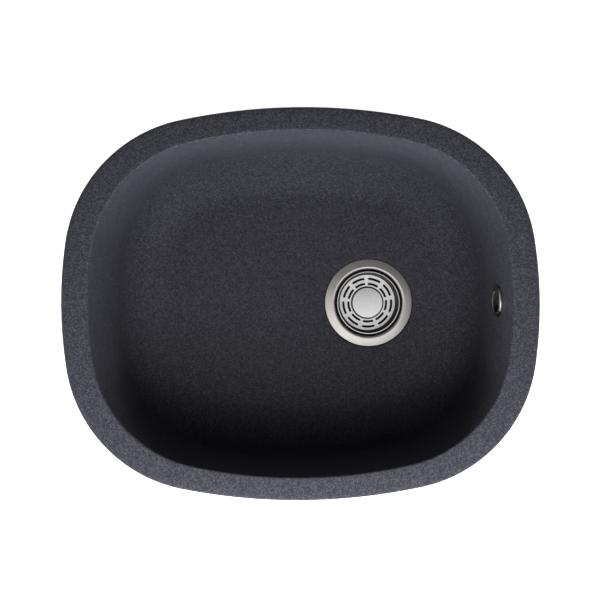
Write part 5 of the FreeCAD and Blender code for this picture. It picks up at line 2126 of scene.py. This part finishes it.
@dataclass
class Hose(Assembly):
    """Ribbed overflow hose along its route, with plain cuffs at both ends."""

    radius: float = 11.75
    bore: float = 9.55
    rib_depth: float = 1.1
    rib_pitch: float = 3.6
    rib_steps: int = 8
    sides: int = 40
    cuff: float = 16.0
    bend: float = 80.0
    bend_steps: int = 48
    level: float = -225.0
    start: float = 149.5
    pipe_reach: float = 26.0
    pipe_drop: float = 26.0
    clamp_inset: float = 9.0
    crisp: float = 50.0

    def top(self) -> Vector:
        """Upper end of the hose, under the elbow's collar."""
        return (OVERFLOW @ Vector((self.pipe_reach * MM, 0.0, -self.pipe_drop * MM))) / MM

    def down(self) -> Vector:
        """Direction of the upper straight, along the leaning wall."""
        return Vector((-math.sin(SHAPE.lean), 0.0, -math.cos(SHAPE.lean)))

    def route(self) -> list[Vector]:
        """Points from the waste body's inlet round the bend and up to the elbow.

        Returns:
            The points in millimetres.
        """
        top, down = self.top(), self.down()
        corner = top + down * ((top.z - self.level) / math.cos(SHAPE.lean))
        turn = math.pi / 2 - SHAPE.lean
        setback = self.bend * math.tan(turn / 2)
        centre = Vector((corner.x - setback, 0.0, self.level + self.bend))
        points = [Vector((self.start, 0.0, self.level))]
        for step in range(self.bend_steps + 1):
            angle = -math.pi / 2 + turn * step / self.bend_steps
            points.append(centre + Vector((math.cos(angle), 0.0, math.sin(angle))) * self.bend)
        return points + [top]

    def tube(self, radius: float, depth: float) -> Mesh:
        """Open tube along the route.

        Args:
            radius: Its radius.
            depth: Depth of its ribs.

        Returns:
            The tube.
        """
        points = self.route()
        path = bpy.data.meshes.new("route")
        edges = [(index, index + 1) for index in range(len(points) - 1)]
        path.from_pydata([tuple(point * MM) for point in points], edges, [])
        return grow(
            path,
            ribbed_tube_group,
            HOSE_PLASTIC,
            Radius=radius * MM,
            Depth=depth * MM,
            Pitch=self.rib_pitch * MM,
            Cuff=self.cuff * MM,
            Step=self.rib_pitch / self.rib_steps * MM,
            Sides=self.sides,
        )

    def build(self) -> Item:
        """Make the hose with its bore and its cut ends.

        Returns:
            The hose.
        """
        work = bmesh.new()
        work.from_mesh(self.tube(self.radius, self.rib_depth))
        work.from_mesh(self.tube(self.bore, 0.0))
        rims = [edge for edge in work.edges if edge.is_boundary]
        for end in (self.route()[0] * MM, self.top() * MM):
            near = [edge for edge in rims if (edge.verts[0].co - end).length < 2 * self.radius * MM]
            bmesh.ops.bridge_loops(work, edges=near)
        mesh = outward(work, bpy.data.meshes.new("overflow_hose_ribbed"))
        item = add_object("overflow_hose_ribbed", mesh)
        smooth(item, self.crisp)
        return self.dress(item, HOSE_PLASTIC, "hose_plastic", "overflow_hose")

    def clamp_places(self) -> dict[str, Matrix]:
        """Frames of both clamps, Z along the hose, origin in the band's middle.

        Returns:
            The frames by name.
        """
        lower = Matrix.Translation(Vector((self.start + self.clamp_inset, 0.0, self.level)) * MM)
        upper = Matrix.Translation((self.top() + self.down() * self.clamp_inset) * MM)
        return {
            "lower": lower @ ALONG_X,
            "upper": upper @ Matrix.Rotation(SHAPE.lean, 4, "Y"),
        }


@dataclass
class Clamps(Assembly):
    """Worm-drive bands at the hose's ends, with their slots and slotted screws."""

    hose: Hose = field(default_factory=Hose)
    band_edge: float = 0.2
    slot_count: int = 34
    slot_radii: Corner = (11.0, 13.5)
    slot_half: float = 0.45
    slot_half_length: float = 2.6
    slot_slant: float = 9.0
    slot_sweep: float = 262.0
    slot_start: float = -37.0
    screw_edge: float = 0.35
    screw_y: float = -16.05
    driver_slot: Corner = (8.7, 11.0)
    driver_slot_half: float = 0.45
    driver_slot_reach: float = 5.0

    def build(self) -> None:
        """Finish both clamps."""
        for name, place in self.hose.clamp_places().items():
            self.band(name, place)
            self.screw(name, place)

    def band(self, name: str, place: Matrix) -> Item:
        """Cut the drive slots through the band, clear of its housing.

        Args:
            name: Which clamp it is.
            place: The clamp's frame.

        Returns:
            The band.
        """
        item = from_cad(f"hose_clamp_{name}_band", f"hose_clamp_{name}")
        soften(item, self.band_edge)
        (near, far), half, end = self.slot_radii, self.slot_half, self.slot_half_length
        cutter = box_mesh("slot", (near, -half, -end), (far, half, end))
        moved(cutter, Matrix.Rotation(math.radians(self.slot_slant), 4, "X"))
        slots = grow(
            cutter,
            ring_array_group,
            Count=self.slot_count,
            First=math.radians(self.slot_start),
            Sweep=math.radians(self.slot_sweep),
        )
        boolean(item, moved(slots, place), Join.CUT)
        smooth(item)
        return self.dress(item, BAND_STEEL, "steel", f"hose_clamp_{name}")

    def screw(self, name: str, place: Matrix) -> Item:
        """Cut the driver's slot into the screw's head.

        Args:
            name: Which clamp it is.
            place: The clamp's frame.

        Returns:
            The screw.
        """
        item = from_cad(f"clamp_screw_{name}_slotted", f"clamp_screw_{name}")
        soften(item, self.screw_edge)
        (near, far), half, reach = self.driver_slot, self.driver_slot_half, self.driver_slot_reach
        low, high = (near, self.screw_y - half, -reach), (far, self.screw_y + half, reach)
        boolean(item, moved(box_mesh("slot", low, high), place), Join.CUT)
        smooth(item)
        return self.dress(item, ZINC, "zinc", f"clamp_screw_{name}")


@dataclass
class Studs(Assembly):
    """The four threaded studs that the clips hang on."""

    radius: float = 2.5
    depth: float = 0.36
    pitch: float = 0.8
    low: float = -66.0
    high: float = -10.0
    point_inset: float = 0.4
    point_rise: float = 0.5
    thread_inset: float = 0.8
    thread_steps: int = 20
    core_steps: int = 32

    def build(self) -> Item:
        """Wind a thread on a core and set one at every clip.

        Returns:
            The studs.
        """
        root = self.radius - self.depth
        profile = [
            (0.0, self.low),
            (root - self.point_inset, self.low),
            (root, self.low + self.point_rise),
            (root, self.high),
            (0.0, self.high),
        ]
        core = lathe("core", profile, self.core_steps, closed=False)
        ridge = grow(
            bpy.data.meshes.new("seed"),
            thread_group,
            ZINC,
            Radius=self.radius * MM,
            Depth=self.depth * MM,
            Pitch=self.pitch * MM,
            Length=(self.high - self.low - 2 * self.thread_inset) * MM,
            Low=(self.low + self.thread_inset) * MM,
            Steps=self.thread_steps,
        )
        studs = [moved(merged("stud", [core, ridge]), site) for site in CLIP_SITES.values()]
        item = add_object("clip_studs_threaded", merged("clip_studs_threaded", studs))
        smooth(item)
        return self.dress(item, ZINC, "zinc", "clip_studs")


@dataclass(frozen=True)
class Plain:
    """A CAD node that keeps its shape and gets finer edges and a finish."""

    node: str
    finish: Finish
    slot: str
    body: str = "sink"
    edge: float = 0.3


def plain_pieces() -> list[Plain]:
    """The small parts whose CAD shape is right.

    Returns:
        Their rows, the clips' nuts and arms last.
    """
    pieces = [
        Plain("rim_seal", FOAM, "foam", edge=0.4),
        Plain("flange_gasket", RUBBER, "rubber", edge=0.0),
        Plain("body_gasket", RUBBER, "rubber", edge=0.5),
        Plain("waste_insert", BRASS, "brass"),
        Plain("waste_screw", SCREW_STEEL, "steel"),
        Plain("rosette_gasket", RUBBER, "rubber", edge=0.2),
        Plain("overflow_screw", SCREW_STEEL, "steel", edge=0.2),
        Plain("elbow_gasket", RUBBER, "rubber", edge=0.5),
        Plain("overflow_elbow", BLACK_PLASTIC, "black_plastic", edge=0.6),
        Plain("clip_inserts", BRASS, "brass", edge=0.2),
        Plain("plug_stem", BLACK_PLASTIC, "black_plastic", "plug"),
        Plain("plug_seal", RUBBER, "rubber", "plug", edge=0.2),
        Plain("snap_ring", SCREW_STEEL, "steel", "plug", edge=0.0),
    ]
    for site in CLIP_SITES:
        for part in ("nut", "arm"):
            pieces.append(Plain(f"clip_{part}_{site}", ZINC, "zinc", f"{part}_{site}", edge=0.4))
    return pieces


@dataclass
class Small(Assembly):
    """The small parts whose CAD shape is right."""

    pieces: list[Plain] = field(default_factory=plain_pieces)

    def build(self) -> None:
        """Copy, soften and dress each of them."""
        for plain in self.pieces:
            item = from_cad(f"{plain.node}_piece", plain.node)
            if plain.edge > 0:
                soften(item, plain.edge)
            else:
                smooth(item)
            self.dress(item, plain.finish, plain.slot, plain.node, body=plain.body)


# Stage, light and camera

CENTRE = (0.0, 0.0, -0.1)
WHITE = (1.0, 1.0, 1.0, 1.0)


class Reach(Enum):
    """What a lamp shows up in."""

    REFLECTIONS = "reflections"
    MATTE = "matte"


@dataclass(frozen=True)
class Lamp:
    """A soft studio lamp that points to the object's middle."""

    name: str
    place: Place
    size: Corner
    power: float
    reach: Reach

    def build(self) -> None:
        """Hang the lamp and point it."""
        light = bpy.data.lights.new(self.name, "AREA")
        light.shape = "RECTANGLE"
        light.size, light.size_y = self.size
        light.energy = self.power
        item = add_object(self.name, light)
        item.location = self.place
        way = Vector(CENTRE) - Vector(self.place)
        item.rotation_euler = way.to_track_quat("-Z", "Y").to_euler()
        item.visible_camera = False
        item.visible_diffuse = self.reach is Reach.MATTE
        item.visible_glossy = self.reach is Reach.REFLECTIONS


@dataclass(frozen=True)
class Screen:
    """A grey studio screen that only shows in the shine of the metal."""

    name: str
    place: Place
    size: Corner
    tone: float

    def build(self) -> None:
        """Hang the screen and turn its face to the object."""
        mesh = sheet_mesh(self.name, self.size[0] / 2, self.size[1] / 2)
        way = Vector(self.place) - Vector(CENTRE)
        turn = way.to_track_quat("Z", "Y").to_matrix().to_4x4()
        mesh.transform(Matrix.Translation(self.place) @ turn)
        material = bpy.data.materials.new(self.name)
        material.use_nodes = True
        material.node_tree.nodes.clear()
        tree = Tree(material.node_tree)
        output = tree.add("ShaderNodeOutputMaterial")
        tree.link(tree.glow(self.tone), output.inputs["Surface"])
        mesh.materials.append(material)
        item = add_object(self.name, mesh)
        item.visible_camera = False
        item.visible_diffuse = False
        item.visible_shadow = False


@dataclass
class Studio:
    """Floor, soft lamps, pale surroundings and the camera above, in metres and watts."""

    floor_height: float = -0.2985
    floor_half: float = 4.0
    floor_tone: float = 0.8
    floor_roughness: float = 0.9
    floor_glow: float = 0.9
    world: float = 0.01
    sensor: float = 36.0
    focal_share: float = 1311.0 / 600.0
    camera_place: Place = (-0.0005, 0.0043, 1.539)
    camera_roll: float = -0.48
    lamps: tuple[Lamp, ...] = (
        Lamp("front_softbox", (0.0, -1.0625, 0.285), (0.4, 0.4), 8.2, Reach.MATTE),
        Lamp("left_softbox", (-0.751, -0.751, 0.285), (0.4, 0.4), 5.4, Reach.MATTE),
        Lamp("right_softbox", (0.721, -0.721, 0.412), (0.4, 0.4), 4.7, Reach.MATTE),
        Lamp("near_panel", (0.0, -0.53, 0.53), (0.3, 0.3), 3.0, Reach.MATTE),
        Lamp("high_softbox", (0.1, -0.55, 1.5), (0.5, 0.5), 4.2, Reach.MATTE),
        Lamp("low_back", (0.0, 1.3, -0.13), (1.4, 0.2), 7.0, Reach.MATTE),
        Lamp("low_left", (-1.3, 0.4, -0.13), (1.0, 0.2), 4.0, Reach.MATTE),
        Lamp("low_right", (1.3, 0.4, -0.13), (1.0, 0.2), 4.0, Reach.MATTE),
        Lamp("front_card", (0.0, -0.61, 1.27), (1.6, 0.7), 2.4, Reach.REFLECTIONS),
        Lamp("right_card", (0.721, -0.721, 0.412), (0.4, 0.4), 3.2, Reach.REFLECTIONS),
    )
    screens: tuple[Screen, ...] = (Screen("back_screen", (0.0, 1.2, 1.33), (3.4, 2.4), 0.2),)

    def build(self) -> None:
        """Set the stage."""
        self.surroundings()
        self.floor()
        for item in (*self.lamps, *self.screens):
            item.build()
        self.camera()

    def surroundings(self) -> None:
        """Even pale light from all round, white to the camera."""
        world = bpy.data.worlds.new("studio")
        bpy.context.scene.world = world
        world.use_nodes = True
        tree = Tree(world.node_tree)
        plain = world.node_tree.nodes["Background"]
        plain.inputs["Color"].default_value = WHITE
        plain.inputs["Strength"].default_value = self.world
        white = tree.add("ShaderNodeBackground")
        white.inputs["Color"].default_value = WHITE
        mixed = tree.mix_shaders(tree.seen(), plain.outputs[0], white.outputs[0])
        tree.link(mixed, world.node_tree.nodes["World Output"].inputs["Surface"])

    def floor(self) -> None:
        """Pale floor that keeps the shadow, reads as white and is clear from beneath."""
        mesh = sheet_mesh("floor", self.floor_half, self.floor_half)
        mesh.transform(Matrix.Translation((0.0, 0.0, self.floor_height)))
        material = bpy.data.materials.new("pale_floor")
        material.use_nodes = True
        tree = Tree(material.node_tree)
        shader = material.node_tree.nodes["Principled BSDF"]
        shader.inputs["Base Color"].default_value = (*[self.floor_tone] * 3, 1.0)
        shader.inputs["Roughness"].default_value = self.floor_roughness
        total = tree.add("ShaderNodeAddShader")
        tree.link(shader.outputs[0], total.inputs[0])
        tree.link(tree.glow(self.floor_glow), total.inputs[1])
        above = tree.mix_shaders(tree.seen(), shader.outputs[0], total.outputs[0])
        clear = tree.add("ShaderNodeBsdfTransparent")
        side = tree.add("ShaderNodeNewGeometry")
        mixed = tree.mix_shaders(side.outputs["Backfacing"], above, clear.outputs[0])
        tree.link(mixed, material.node_tree.nodes["Material Output"].inputs["Surface"])
        mesh.materials.append(material)
        add_object("floor", mesh)

    def camera(self) -> None:
        """Camera straight above, turned by the photograph's slight roll."""
        data = bpy.data.cameras.new("camera")
        data.sensor_width = self.sensor
        data.lens = self.sensor * self.focal_share
        item = add_object("camera", data)
        item.location = self.camera_place
        item.rotation_euler = (0.0, 0.0, math.radians(self.camera_roll))
        bpy.context.scene.camera = item


def main() -> None:
    """Build every assembly, then the stage."""
    logging.basicConfig(level=logging.INFO, format="%(name)s %(message)s")
    bpy.context.scene.view_settings.view_transform = "Standard"
    Bowl().build()
    Strainer().build()
    Basket().build()
    Knob().build()
    Rosette().build()
    WasteBody().build()
    Hose().build()
    Clamps().build()
    Studs().build()
    Small().build()
    Studio().build()


if __name__ == "__main__":
    main()
